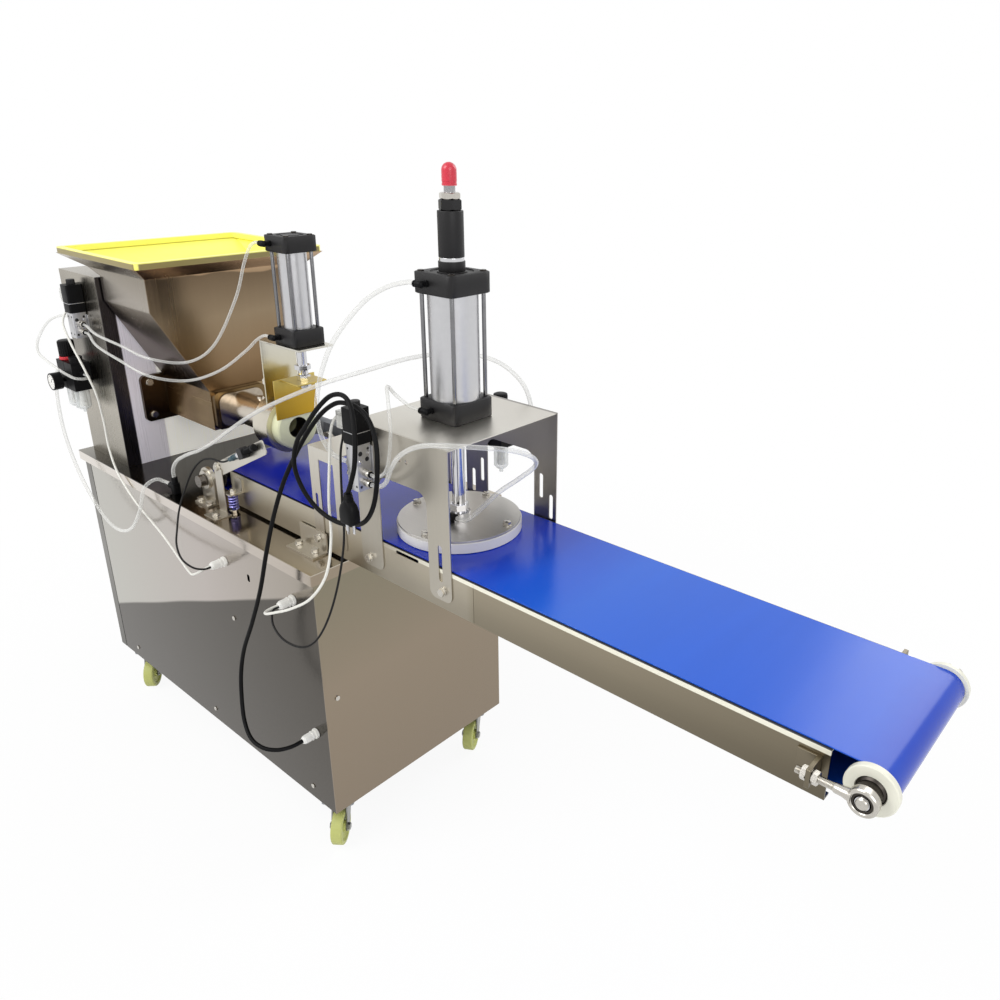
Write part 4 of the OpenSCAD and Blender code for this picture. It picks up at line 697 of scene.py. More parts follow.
def column_steel(name):
    """Column: painted reflections on the near wall, a front folded edge painted dark as shade, and
    two pale panels that are painted reflections with a painted glow.
    """
    f = Finish(name)
    # Painted reflections on the near wall, painted shade on the folded edge, pale painted
    # reflections on the front panels.
    wall = tones(f, "z", [(663, (150, 145, 134)), (800, (176, 170, 158)), (960, (120, 115, 107)),
                          (1105, (168, 162, 150))], 0.15, 0.12)
    front = tones(f, "y", [(20, (76, 72, 72)), (49, (82, 78, 82)), (52, (238, 233, 244)),
                           (118, (240, 235, 242)), (124, (246, 243, 230)), (330, (244, 240, 226))],
                  0.0)
    face = f.past("x", -758.0, -756.0)
    painted_panels = face * f.past("y", 50.0, 52.0)
    brushed(f, f.mix(face, wall, front), "z", (0.2, 0.36), 0.05)
    # Painted glow: the pale panels emit light of their own, more on the whiter one.
    painted_glow = painted_panels * (f.past("y", 118, 124) * 0.22 + 0.03)
    return f.set(Metallic=1 - painted_panels * 0.92, Emission_Color=scaled(f, (1.0, 0.98, 0.94), painted_glow),
                 Emission_Strength=1.0).material


CABINET = cabinet_steel("cabinet_steel")
HOPPER = hopper_steel("hopper_steel")
COLUMN = column_steel("column_steel")
TRAY_STEEL = tray_steel("tray_steel")
# Painted shade: the door is darker low down.
DOOR = steel("door_steel", "z", [(105, (96, 94, 89)), (400, (138, 136, 131)),
             (661, (122, 120, 115))], "z")
# Stainless housing with a painted warm reflection, dark as shade next to the column.
HOUSING = steel("housing_steel", "x", [(-756, (64, 50, 36)), (-735, (92, 74, 52)),
                (-690, (158, 136, 102)), (-600, (176, 152, 116)), (-541, (150, 128, 96))],
                "x", (0.16, 0.34), 0.16, 0.1)
OUTLET = outlet_steel("outlet_steel")
# Painted reflection: the bracket is warmer and a little darker low down.
BRACKET = steel("bracket_mirror", "z", [(821, (196, 188, 164)), (930, (206, 200, 178)),
                (1009, (208, 205, 194))], "z", (0.14, 0.3), 0.06, 0.2)
# Brass blade, painted lighter towards its top as a highlight.
GOLD = steel("gold_sheet", "z", [(848, (190, 152, 48)), (900, (188, 154, 62)),
             (933, (206, 184, 104))], "y", (0.24, 0.4), 0.06, 0.2)
RAIL = rail_steel("rail_steel")
# Painted shade: the gantry's far plate is dark and the near plate a little darker.
GANTRY = steel("gantry_steel", "y", [(64, (172, 166, 154)), (72, (204, 200, 190)),
               (200, (214, 211, 203)), (322, (208, 204, 196)), (325, (148, 144, 139)),
               (328, (148, 144, 139))], "z", (0.26, 0.44), 0.08, 0.0)
# Painted shade: the portal is darker low down.
PORTAL = steel("portal_steel", "z", [(685, (168, 160, 146)), (875, (206, 202, 192))], "z",
               (0.2, 0.4))
# Painted reflection: the press plate is paler at the end towards the hopper.
PLATE = steel("plate_steel", "x", [(72, (226, 223, 218)), (180, (208, 205, 200)),
              (292, (190, 187, 182))], "x", (0.34, 0.5), 0.12, 0.3)
# Painted shade: the feet and the sensor post are darker low down.
FOOT = steel("foot_steel", "z", [(663, (186, 180, 168)), (800, (206, 202, 192))], "z")
print("steel finishes:", len(bpy.data.materials))

# %% [markdown]
# ## Turned metal, paint, plastic and rubber
# Chrome rods are near mirrors with faint turning lines. Zinc is duller and patchy. Moulded
# plastic has a fine leather-like grain from the tool, and its roughness wanders a little where
# hands have polished it. Each finish is one short function, with the numbers that differ.


# %% Other finishes
def plain(name, colour, rough, metallic, patch, patch_size, grain=0.0012, depth=0.00002,
          gloss=0.5, **fixed):
    """A finish of one colour with patches, fine grain and wandering roughness."""
    f = Finish(name)
    patches = f.noise(patch_size, detail=4.0)
    fine = f.noise(grain, detail=2.0)
    f.set(Base_Color=scaled(f, srgb(*colour), patches * (2 * patch) + (1 - patch)),
          Roughness=patches * 0.5 * rough + fine * 0.3 * rough + 0.6 * rough, Metallic=metallic,
          Specular_IOR_Level=gloss, **fixed)
    f.bump(fine, depth)
    return f.material


def insert_cream(name):
    """Nozzle insert: cream on the face, painted darker towards the bottom as shade, and a painted
    shadow inside the bore, where no light comes back.
    """
    f = Finish(name)
    # Painted shade: the face darkens towards the bottom.
    face = tones(f, "z", [(773, (190, 190, 152)), (821, (226, 228, 186)),
                          (869, (236, 238, 204))], 0.0)
    # Painted shadow: near black inside the bore.
    across, rise = f.axis("y") - row("y", LINE), f.axis("z") - row("z", NOZZLE_Z)
    outside = (across * across + rise * rise).step(0.0221 ** 2, 0.0229 ** 2)
    haze = f.noise(0.02)
    f.set(Base_Color=scaled(f, f.mix(outside, srgb(16, 15, 13), face), haze * 0.1 + 0.95),
          Roughness=haze * 0.1 + 0.34)
    return f.material


def liner_yellow(name):
    """Hopper liner: bright yellow inside, painted lighter towards the top as a highlight, and a dull
    khaki edge on the rim's outer faces.
    """
    f = Finish(name)
    # Painted highlight: the inside grows paler towards the rim.
    inside = tones(f, "z", [(866, (244, 226, 70)), (1000, (254, 242, 92)), (1120, (255, 250, 104)),
                            (1160, (255, 251, 132))], 0.0)
    inner = f.past("y", 4.0, 5.5) * (1 - f.past("x", -516.5, -515.0))
    edge = (1 - inner) * (1 - f.past("z", 1157.6, 1159.2))
    haze = f.noise(0.02)
    f.set(Base_Color=scaled(f, f.mix(edge, inside, srgb(140, 127, 76)), haze * 0.1 + 0.95),
          Roughness=haze * 0.14 + 0.27)
    f.bump(f.noise(0.0012, detail=2.0), 0.00003)
    return f.material


CHROME = plain("chrome", (206, 206, 208), 0.10, 1.0, 0.12, 0.02, 0.0008, 0.00001)
BOLT_STEEL = plain("bolt_steel", (196, 192, 184), 0.24, 1.0, 0.16, 0.006, 0.0008, 0.00003)
ZINC = plain("zinc", (150, 152, 156), 0.34, 1.0, 0.2, 0.012, 0.001, 0.00005)
DARK_METAL = plain("blackened_steel", (70, 66, 62), 0.34, 1.0, 0.25, 0.01)
ALUMINIUM = plain("satin_aluminium", (200, 200, 202), 0.34, 1.0, 0.06, 0.01, 0.0012, 0.00005)
BLACK_PAINT = plain("black_casting", (26, 25, 26), 0.46, 0.0, 0.10, 0.02, 0.0015, 0.00004,
                    gloss=0.3)
BLACK_PLASTIC = plain("black_plastic", (17, 17, 18), 0.40, 0.0, 0.12, 0.02, 0.0012, 0.00003,
                      gloss=0.1)
HUB = plain("hub_steel", (116, 111, 105), 0.3, 1.0, 0.4, 0.004, 0.0015, 0.0002)
TIE_STEEL = plain("tie_rod_steel", (128, 128, 130), 0.2, 1.0, 0.2, 0.02, 0.0008, 0.00001)
RUBBER = plain("black_rubber", (12, 12, 13), 0.5, 0.0, 0.15, 0.02, 0.001, 0.00002, gloss=0.12)
WHITE_PLASTIC = plain("white_plastic", (232, 231, 226), 0.36, 0.0, 0.03, 0.02)
PAD_PLASTIC = plain("pad_plastic", (224, 222, 220), 0.42, 0.0, 0.03, 0.05)
DISC_PLASTIC = plain("disc_plastic", (232, 231, 216), 0.38, 0.0, 0.04, 0.02)
INSERT_PLASTIC = insert_cream("insert_plastic")
# Black for painted shade in open ports and on the idler under the belt, and for the gauge's printed
# marks.
SHADE_AND_PRINT_BLACK = plain("shadow_and_print_black", (14, 14, 15), 0.6, 0.0, 0.2, 0.01)
RED_PLASTIC = plain("red_plastic", (200, 36, 48), 0.34, 0.0, 0.06, 0.01)
RED_CAP = plain("red_cap", (205, 40, 62), 0.30, 0.0, 0.06, 0.01, 0.0012, 0.00002, Coat_Weight=0.3)
YELLOW_LINER = liner_yellow("yellow_liner")
WHEEL = plain("wheel_rubber", (186, 190, 112), 0.5, 0.0, 0.08, 0.01)
FORK = plain("fork_zinc", (138, 138, 134), 0.3, 1.0, 0.25, 0.01)
MOTOR_PAINT = plain("motor_paint", (96, 100, 106), 0.45, 0.0, 0.06, 0.03)
BOX_PAINT = plain("box_paint", (202, 202, 198), 0.45, 0.0, 0.04, 0.03, 0.002, 0.00008)
TEAL = plain("teal_plastic", (24, 62, 74), 0.34, 0.0, 0.1, 0.01)
SPRING = plain("spring_lilac", (150, 146, 214), 0.3, 0.6, 0.12, 0.01)
SPRING_CORE = plain("spring_core_blue", (20, 26, 120), 0.4, 0.0, 0.1, 0.01)
WHITE_CABLE = plain("white_cable", (226, 225, 218), 0.4, 0.0, 0.04, 0.02)
CABLE_BLACK = plain("thin_black_cable", (14, 13, 13), 0.5, 0.0, 0.10, 0.02, gloss=0.25)


def belt_blue(name):
    """Belt coat: smooth blue with a painted reflection, deeper up to the press and paler beyond it,
    with a fine weave and a soft gloss.
    """
    f = Finish(name)
    # Painted reflection: the blue is deeper up to the press, palest beyond it and a little darker at
    # the tail.
    base = tones(f, "x", [(-470, (10, 26, 142)), (60, (10, 34, 160)), (300, (8, 50, 182)),
                          (390, (20, 78, 198)), (520, (32, 96, 206)), (960, (20, 84, 202)),
                          (1020, (18, 62, 182))], 0.03, 0.1)
    weave = f.noise(0.0016, detail=2.0)
    crease = f.noise(0.05, (1.0, 0.12, 1.0), 3.0)
    f.set(Base_Color=scaled(f, base, crease * 0.10 + 0.95), Roughness=crease * 0.10 + 0.15,
          Specular_IOR_Level=0.4)
    f.bump(weave * 0.25 + crease, 0.0002)
    return f.material


def clear(name, colour, edge, middle):
    """Clear plastic that stays see-through in the middle and closes up towards its edges."""
    f = Finish(name)
    facing = f.node("ShaderNodeLayerWeight", {}, {"Blend": 0.35})
    rim = Value(f, facing.outputs["Facing"])
    haze = f.noise(0.01)
    f.set(Base_Color=scaled(f, srgb(*colour), haze * 0.06 + 0.95), Roughness=haze * 0.1 + 0.12,
          Alpha=(rim * (edge - middle) + middle).clip(), Coat_Weight=0.5)
    return f.material


BELT = belt_blue("belt_blue")
TUBE = clear("clear_tube", (232, 232, 228), 0.9, 0.22)
BOWL = clear("clear_bowl", (226, 230, 230), 0.8, 0.28)
CONNECTOR = clear("clear_connector", (206, 206, 200), 0.95, 0.7)
print("finishes:", len(bpy.data.materials))

# %% [markdown]
# ## Tubes, cables and the mains lead
# Each cord is a real length of something flexible. It leaves its fitting straight, and then sags.
# The routes are short lists of points, given in millimetres above the tray. A smooth
# curve goes through them, the same one that the solids follow, and a round tube follows the
# curve. A cord is made from its route, which starts where it leaves, and its thickness.

# %% Routes above the tray
ROUTES = {
    "tube_1": [(-813, 3, 333), (-795, 3, 331), (-740, -2, 322), (-640, 5, 312), (-560, 22, 296),
        (-505, 75, 288), (-440, 105, 330), (-370, 125, 430), (-345, 138, 500), (-330, 146, 534),
        (-314, 149.1, 544), (-299, 149.1, 544)],
    "tube_2": [(-813, 3, 315), (-795, 3, 313), (-740, -6, 298), (-650, 0, 280), (-570, 22, 256),
        (-515, 75, 246), (-430, 105, 278), (-365, 130, 325), (-340, 143, 350), (-318, 149.1, 362),
        (-299, 149.1, 362)],
    "tube_3": [(-873, 3, 341), (-892, 2, 341), (-930, -4, 337), (-966, -14, 322), (-986, -26, 298),
        (-982, -42, 274), (-948, -56, 258), (-905, -60, 250), (-862, -60, 243), (-832, -55, 233),
        (-809, -48, 225), (-796, -42, 221), (-790, -29, 218.5), (-796, -16, 217), (-809, -10, 217),
        (-830, -10, 217)],
    "tube_4": [(-939, -10, 217), (-958, -10, 217), (-985, -14, 190), (-990, -22, 130),
        (-965, -30, 40), (-905, -34, -50), (-820, -36, -115), (-735, -38, -133), (-660, -36, -108),
        (-612, -30, -50), (-600, -18, 2), (-588, 4, 20), (-570, 18, 15), (-550, 19, 14)],
    "tube_5": [(-528, 19, 38), (-526, 19.5, 58), (-508, 22, 80), (-470, 26, 102), (-420, 31, 124),
        (-366, 38, 154), (-311, 45, 190), (-208, 60, 252), (-70, 90, 318), (12, 140, 352),
        (62, 215, 372), (110, 282, 374), (160, 320, 362), (197, 346, 326), (212, 356, 282),
        (210, 354, 236), (196, 350.5, 211), (173, 350, 205)],
    "tube_6": [(155, 140.1, 522), (138, 140, 522), (90, 134, 508), (46, 118, 478), (10, 85, 420),
        (-3, 62, 365), (-10, 50, 305), (0, 46, 255), (25, 48, 226), (50, 49, 221), (70, 49, 221)],
    "tube_7": [(130, 49, 213), (148, 49, 214), (172, 50, 236), (176, 58, 290), (150, 78, 338),
        (112, 108, 350), (104, 130, 330), (125, 139, 313), (140, 140, 310), (155, 140.1, 310)],
    "hose": [(130, 49, 195), (152, 49, 198), (178, 42, 216), (200, 36, 246), (226, 34, 276),
        (262, 40, 298), (304, 56, 306), (340, 92, 302), (364, 138, 291), (372, 180, 270),
        (356, 206, 243), (322, 206, 212), (288, 192, 182), (260, 175, 148), (238, 165, 124),
        (222, 165, 118), (210.4, 165, 118)],
    "cable_1": [(-871, 2, 376), (-871, -4, 362), (-862, -22, 335), (-830, -26, 295),
        (-785, -24, 240), (-772, -14, 180), (-782, -6, 110), (-775, -8, 50), (-735, -14, 0),
        (-660, -16, -50), (-540, -22, -88), (-430, -40, -106), (-372, -52, -108), (-340, -58, -102),
        (-321, -50, -90), (-317, -34, -85)],
    "cable_2": [(-67, -34, -81), (-66, -48, -84), (-48, -60, -101), (-14, -62, -116),
        (24, -52, -120), (54, -40, -100), (76, -24, -52), (86, -4, 14), (85, 16, 90), (81, 22, 170),
        (76, 30, 240), (71, 41, 268), (70, 44, 282)],
    "cable_3": [(60, 48, 300), (51, 48, 299), (43, 45, 290), (38, 40, 268), (37, 34, 220),
        (42, 22, 150), (56, 10, 85), (58, -8, 22), (34, -28, -26), (-4, -46, -54), (-36, -62, -68),
        (-56, -67, -76), (-69, -60, -80), (-73, -47, -81), (-73, -34, -81)],
    "cable_4": [(-311, -34, -85), (-311, -50, -83), (-322, -66, -76), (-350, -72, -64),
        (-385, -62, -48), (-412, -44, -28), (-428, -26, 5), (-427, -8, 45), (-412, 6, 86),
        (-390, 17, 112), (-362, 24, 122), (-332, 29, 122), (-314, 30.3, 127), (-298, 30.3, 135)],
    "lead": [(-40, -34, -374), (-42, -58, -374), (-54, -82, -373), (-78, -98, -370),
        (-110, -102, -362), (-142, -94, -342), (-164, -82, -306), (-172, -72, -256),
        (-162, -64, -200), (-130, -57, -130), (-97, -50, -50), (-77, -40, 30), (-63, -26, 100),
        (-46, -10, 165), (-22, 6, 222), (10, 17, 272), (42, 24, 308), (74, 29, 330), (100, 31, 336),
        (127, 32, 335), (156, 31, 322), (181, 24, 292), (193, 14, 246), (190, 7, 196),
        (168, 6, 158), (132, 8, 136), (84, 5, 128), (40, 0, 140), (8, -5, 170), (-6, -8, 212),
        (6, -6, 256), (30, 0, 290), (54, 8, 322), (78, 18, 346), (104, 23, 352), (130, 18, 342),
        (151, 7, 316), (162, -2, 284), (164, -8, 252), (158, -12, 226), (150, -14, 206)],
}


# %% Cords
def smooth_line(route):
    """Curve through points: between b and c it is half of 2b + (c - a) s + (2a - 5b + 4c - d) s^2
    + (3b - a - 3c + d) s^3, where a and d are the points before and after."""
    p = np.asarray(route, float)
    a, b, c, d = np.vstack([p[:1], p[:-2]]), p[:-1], p[1:], np.vstack([p[2:], p[-1:]])
    s = (np.arange(8) / 8)[None, :, None]
    a, b, c, d = (x[:, None, :] for x in (a, b, c, d))
    line = 0.5 * (2 * b + (c - a) * s + (2 * a - 5 * b + 4 * c - d) * s ** 2
                  + (3 * b - a - 3 * c + d) * s ** 3)
    return np.vstack([line.reshape(-1, 3), p[-1:]])


def cord(name, route, radius, finish, node,
         between=None):
    """One cord along its route. With `between`, the cord is taken off its body and its place is
    baked into its points; the bodies and places that `between` names are not used."""
    line = smooth_line(ROUTES[route]) + [0, 0, TRAY]
    made = piece(name, swept(line, radius), finish, node, True, smooth=60.0)
    if between:
        made.parent = None
        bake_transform(made)
    path = metres(line)


for name, route, radius in (
        ("cutter_tube_top", "tube_1", 3.0), ("cutter_tube_low", "tube_2", 3.0),
        ("supply_tube", "tube_3", 3.0), ("inlet_tube", "tube_4", 4.0),
        ("press_supply_tube", "tube_5", 4.0), ("press_tube_top", "tube_6", 4.0),
        ("press_tube_low", "tube_7", 3.0)):
    cord(name, route, radius, TUBE, "air_tubes")
cord("press_hose_clear", "hose", 4.0, TUBE, "press_hose",
     between=("base", "press", metres([150, 35, 1]), metres([245, 130, 1])))
for name, route, radius, finish in (("rear_valve_cable", "cable_1", 2.5, WHITE_CABLE),
                                    ("front_valve_cable", "cable_2", 2.0, CABLE_BLACK),
                                    ("white_valve_cable", "cable_3", 2.5, WHITE_CABLE)):
    cord(name, route, radius, finish, "signal_cables")
cord("sensor_cable_black", "cable_4", 2.0, CABLE_BLACK, "sensor_cable",
     between=("base", "sensor", metres([-420, 20, TRAY + 60]), metres([-360, 20, TRAY + 120])))


# %% [markdown]
# The mains lead ends in a moulded plug that hangs from its loop with the pins down. The plug's
# body is one skin through rounded outlines, from the ribbed neck to the flat face.

# %% Mains plug and lead
def plug():
    """Outline at each height: |x / a|^n + |y / b|^n = 1, a circle at n = 2 and boxy at n = 4."""
    x, y, z = np.array(ROUTES["lead"][-1]) + [0, 0, TRAY]
    t = np.linspace(0, 2 * np.pi, 40, endpoint=False)
    ribs = [(-14 * i / 12, 6.6 + 2.4 * i / 12 - (0.9 if i % 2 else 0.0)) for i in range(12)]
    rows = [(h, r, r, 2.0) for h, r in ribs]
    rows += [(-14, 9.0, 8.6, 2.0), (-17, 12.4, 9.0, 2.4), (-22, 15.6, 10.0, 3.0),
             (-30, 17.8, 10.9, 3.6), (-44, 17.8, 10.9, 4.0), (-47, 16.9, 10.6, 4.0),
             (-49.5, 17.6, 10.8, 4.0), (-51.5, 16.6, 10.2, 4.0), (-52, 15.5, 9.4, 4.0)]
    h, a, b, n = (np.array(v)[:, None] for v in zip(*rows[::-1]))
    c, s = np.cos(t)[None, :], np.sin(t)[None, :]
    px = a * np.sign(c) * np.abs(c) ** (2 / n)
    py = b * np.sign(s) * np.abs(s) ** (2 / n)
    return grid(np.stack([x + px, y + py, z + h + 0 * px], -1)), (x, y, z)


plug_shape, (px, py, pz) = plug()
plug_body = piece("plug_body", plug_shape, BLACK_PLASTIC, "mains_plug", True)
blades = [round_rect(px + side - 3, px + side + 3, pz - 70, pz - 51, 1.2) for side in (-9, 9)]
pins = [extruded(blade, py - 0.8, py + 0.8, "y") for blade in blades]
earth = round_rect(py - 6.5, py - 2.5, pz - 72, pz - 51, 1.9)
pins.append(extruded(earth, px - 1.0, px + 1.0, "x"))
plug_pins = piece("plug_pins", joined(*pins), CHROME, "mains_plug", bevel=0.2)
cord("mains_lead_black", "lead", 4.0, RUBBER, "mains_lead")

# %% [markdown]
# ## Air cylinders
# Each cylinder is a ground tube between two black castings, pulled together by four tie rods. The
# cap's outline is |x|^n + |y|^n = a^n, which is a square with soft corners, so the same rows of
# points can close into the round pan on its top. Air comes in by push-in elbows on the near side.

# %% Cylinders, elbows and the press's stop
ALONG, BACK, UPWARD = np.eye(3)


def cap(x, low, high, width, pan=None):
    """One casting, with a shallow round pan in its top and a boss in the pan."""
    half, edge = width / 2, 1.2
    full, eased = squarish(half), squarish(half - edge)
    rows = [(eased, low), (full, low + edge), (full, high - edge), (eased, high)]
    if not pan:
        return stacked(rows, (x, LINE, 0))
    rows += [(pan, high), (pan - 0.6, high - 2)]
    boss = peg(pan * 0.68, high - 2.3, high - 0.1, 0.5, (x, LINE, 0))
    return joined(stacked(rows, (x, LINE, 0)), boss)


def elbow(at, first, second):
    """Push-in elbow: a hexagon and a stem along `first`, a knee, and a collar along `second`."""
    knee = np.asarray(at, float) + 13 * first
    a = np.linspace(-1.5, 1.5, 9)
    collar = [(5.4, -3), (6, -2), (6, 9), (5.2, 10), (4.7, 10.2), (4.7, 11.6), (5.7, 12),
              (5.7, 14.2), (5.2, 15)]
    return joined(hexagon(11, 0.1, 4.5, at, first), peg(4.8, 0.2, 13, 0.3, at, first, 24),
                  turned([(6 * math.cos(x), 6 * math.sin(x)) for x in a], knee, first, 24),
                  turned(collar, knee, second, 24))


PRESS = (182, LINE, 0)
caps, rods, nuts = [], [], []
for x, low, high, width, foot, head, pan in ((-270, 1009, 1222, 72, 33, 31, 26),
                                             (PRESS[0], 955, 1202, 90, 35, 35, 36)):
    caps += [cap(x, low, low + foot, width), cap(x, high - head, high, width, pan)]
    reach = width / 2 - 9.5
    for corner in ((x + sx, LINE + sy, 0) for sx in (-reach, reach) for sy in (-reach, reach)):
        rods.append(peg(3.6, low + foot - 1, high - head + 1, 0.2, corner, sides=20))
        nuts.append(hexagon(10, high - 0.5, high + 2, corner))
piece("cap_castings", joined(*caps), BLACK_PAINT, "cylinder_caps", True, smooth=50)
piece("tie_rods", joined(*rods), TIE_STEEL, "cylinder_caps", True)
piece("tie_nuts", joined(*nuts), DARK_METAL, "cylinder_caps", True)
inlets = ((-284, 162, 1025), (-284, 162, 1207), (170, 153, 1185), (170, 153, 973))
piece("cylinder_elbows", joined(*(elbow(at, -BACK, -ALONG) for at in inlets)), BLACK_PLASTIC,
      "cylinder_caps", True)
sleeve = joined(peg(22, 1202, 1218, 1.0, PRESS), peg(21, 1223.5, 1296, 1.2, PRESS))
piece("sleeve_black", sleeve, BLACK_PAINT, "press_sleeve", True)
piece("sleeve_ring", peg(20.6, 1217.5, 1224, 0.6, PRESS), CHROME, "press_sleeve", True)
piece("stop_hexagon", hexagon(33, 1296.3, 1313, PRESS), BLACK_PAINT, "press_stop", True)
piece("stop_nut", hexagon(30, 1313, 1323, PRESS), BOLT_STEEL, "press_stop", True)
piece("stop_thread", threaded(9.3, 1322, 1334, PRESS), DARK_METAL, "press_stop")
skirt = [(11.4, 1333), (12, 1333.6), (12, 1336), (11.6, 1336.4), (11.6, 1339), (12, 1339.4)]
dome = [(12 * math.cos(a), 1356 + 12 * math.sin(a)) for a in np.linspace(0, 1.5, 9)]
piece("stop_cap", turned(skirt + dome, PRESS), RED_CAP, "press_stop", True)
PLATE_TOP, BOLT_REACH = 768, 97
bolts = []
for a in np.radians((15, 105, 190, 280)):
    at = (PRESS[0] + BOLT_REACH * math.cos(a), LINE + BOLT_REACH * math.sin(a), PLATE_TOP)
    bolts += [peg(8, 0, 1.5, 0.3, at, sides=32), hexagon(13, 1.5, 6.8, at)]
piece("plate_bolts", joined(*bolts), BOLT_STEEL, "press_bolts", True)
piece("plate_elbow", elbow((195, 165, PLATE_TOP), UPWARD, ALONG), BLACK_PLASTIC, "press_bolts",
      True)
print("cylinders ready")

# %% [markdown]
# ## Valves
# A solenoid valve is a milled aluminium body with its ports across, a black coil block that slips
# over the core tube, a ribbed nut that holds the coil, and a grey see-through plug for the cable.
# The body's screws and open ports are small, but they are what makes it read as a valve.


# %% Valves, coils and connectors
def valve(tag, x, wall, foot, tall):
    """One valve from its body up to its nut; `wall` is the face that it hangs on."""
    near, top = wall - 32, foot + tall
    body = joined(extruded(round_rect(x - 14, x + 14, near, wall - 2, 1.2), foot, top),
                  extruded(round_rect(x - 18, x + 18, foot + 10, top - 6, 2), wall - 2, wall, "y"))
    piece(f"{tag}_body", body, ALUMINIUM, "valve_bodies", True, 0.5)
    for kind, r, low, high, edge, finish in (("ports", 6.5, 13, 28, 0.6, BOLT_STEEL),
                                             ("port_rings", 5.6, 27, 30, 0.4, BLACK_PLASTIC)):
        pegs = [peg(r, low, high, edge, (x, wall - 17, foot + h + lift), side * ALONG, 24)
                for side, lift in ((-1, 8), (1, 0)) for h in (14, 32)]
        piece(f"{tag}_{kind}", joined(*pegs), finish, "valve_bodies", True)
    spots = [(r, (x + 13.7, wall - y, foot + h), ALONG) for r, y, h in (
        (4.2, 24, tall - 16), (4.2, 11, tall - 28), (2.6, 8, tall - 10), (2.6, 26, 8))]
    spots += [(2.2, (x + dx, near + 0.3, foot + h), -BACK)
              for dx, h in ((-9, 9), (9, tall - 9), (9, 9), (-9, tall - 9))]
    holes = [peg(r, 0, 0.5, 0.2, at, direction, 24) for r, at, direction in spots]
    # Painted shade: flat black discs stand for the dark inside of open ports and screw holes.
    piece(f"{tag}_holes", joined(*holes), SHADE_AND_PRINT_BLACK, "valve_bodies", True)
    screw = [(3.2, 0), (3.4, 0.4), (3.0, 1.4), (1.6, 1.6), (1.5, 0.6)]
    screws = [turned(screw, (x + 14, wall - y, foot + h), ALONG, 24)
              for y, h in ((8, tall - 17), (25, tall - 30), (10, 22))]
    piece(f"{tag}_screws", joined(*screws), CHROME, "valve_bodies", True)

    def slab(inset, low, high):
        """A slice of the coil's block, drawn in by `inset`."""
        return extruded(round_rect(x - 16 + inset, x + 16 - inset, wall - 35 + inset, wall - inset,
                                   3.5), top + low, top + high)

    piece(f"{tag}_coil", joined(slab(0, 0, 20), slab(0.6, 19, 23), slab(0, 22, 62)), BLACK_PLASTIC,
          "valve_coils", True, 0.7)
    piece(f"{tag}_coil_seam", slab(0.1, 20.4, 21.5), ALUMINIUM, "valve_coils", True)
    ribs = ridged(9, 18, 0.9)
    cap_nut = stacked([(ribs, top + 61.5), (ribs, top + 71.5), (8.2, top + 72.6), (5, top + 73)],
                      (x, wall - 17, 0))
    piece(f"{tag}_coil_nut", cap_nut, BLACK_PAINT, "valve_coils", True)
    tall_box = round_rect(x - 40, x - 18, wall - 29, wall - 7, 2.5)
    wide_box = round_rect(x - 37, x - 15.8, wall - 31, wall - 5, 2.5)
    boxes = joined(extruded(tall_box, top + 20, top + 50), extruded(wide_box, top + 27, top + 44))
    piece(f"{tag}_connector", boxes, CONNECTOR, "valve_coils", True, 0.8)
    nut = joined(peg(6.5, top + 10, top + 20.5, 0.8, (x - 30, wall - 18, 0), sides=24),
                 peg(2.6, top + 49.6, top + 51.4, 0.4, (x - 29, wall - 18, 0), sides=24))
    piece(f"{tag}_connector_nut", nut, BLACK_PLASTIC, "valve_coils", True)


valve("rear_valve", -843, 20, 964, 57)
valve("front_valve", 100, 66, 844, 83)
tee = joined(extruded(round_rect(-536, -520, 11, 27, 3), TRAY, TRAY + 24),
             peg(7, TRAY + 23, TRAY + 38, 0.8, (-528, 19, 0), sides=28),
             peg(7, 0, 15, 0.8, (-535, 19, TRAY + 14), -ALONG, 28))
piece("tray_tee", tee, BLACK_PLASTIC, "valve_bodies", True, 0.8)
print("valves ready")

# %% [markdown]
# ## Air preparation
# Filter, regulator and lubricator are black die castings with clear bowls under them. The knob has
# finger ridges and locks on a red ring. The gauge is a black pot with a white face behind its rim.

# %% Knobs, red ring, gauge face and filters
PREPARER, LUBRICATOR, REGULATOR = (-905, -10, 0), (-864, -10, 0), (141, 350, 0)
GAUGE_X, GAUGE_Z = -905, 858
grip = ridged(17.6, 22, 0.9)
piece("preparer_grip", stacked([(16.6, 912.3), (grip, 913.4), (grip, 944), (16.8, 947.6),
      (14.5, 949.2)], PREPARER), BLACK_PLASTIC, "preparer_knob", True)
piece("preparer_lock_ring", peg(18.6, 905.3, 912.6, 0.8, PREPARER), RED_PLASTIC,
      "preparer_knob", True)
grip = ridged(13.7, 18, 0.8)
piece("regulator_grip", stacked([(12.8, 918.3), (grip, 919.4), (grip, 950), (13, 953.2),
      (11, 954.3)], REGULATOR), BLACK_PLASTIC, "regulator_knob", True)
rim = [(17.4, 0), (19.6, 0), (20.2, 0.8), (20.2, 4), (17.0, 4), (17.0, 0.6)]
piece("gauge_rim", turned(rim, (GAUGE_X, -56.6, GAUGE_Z), BACK, 48, bore=True), BLACK_PLASTIC,
      "regulator_bodies", True)
piece("gauge_face", peg(17.4, 0, 1, 0.1, (GAUGE_X, -56.3, GAUGE_Z), BACK, 48), WHITE_PLASTIC,
      "regulator_bodies")
marks = []
for a in np.radians(225 - 27 * np.arange(11)):
    u, v = np.array([math.cos(a), math.sin(a)]), np.array([-math.sin(a), math.cos(a)])
    mark = [u * r + v * w + [GAUGE_X, GAUGE_Z]
            for r, w in ((12.2, -0.4), (15.6, -0.4), (15.6, 0.4), (12.2, 0.4))]
    marks.append(extruded(mark, -56.45, -56.2, "y"))
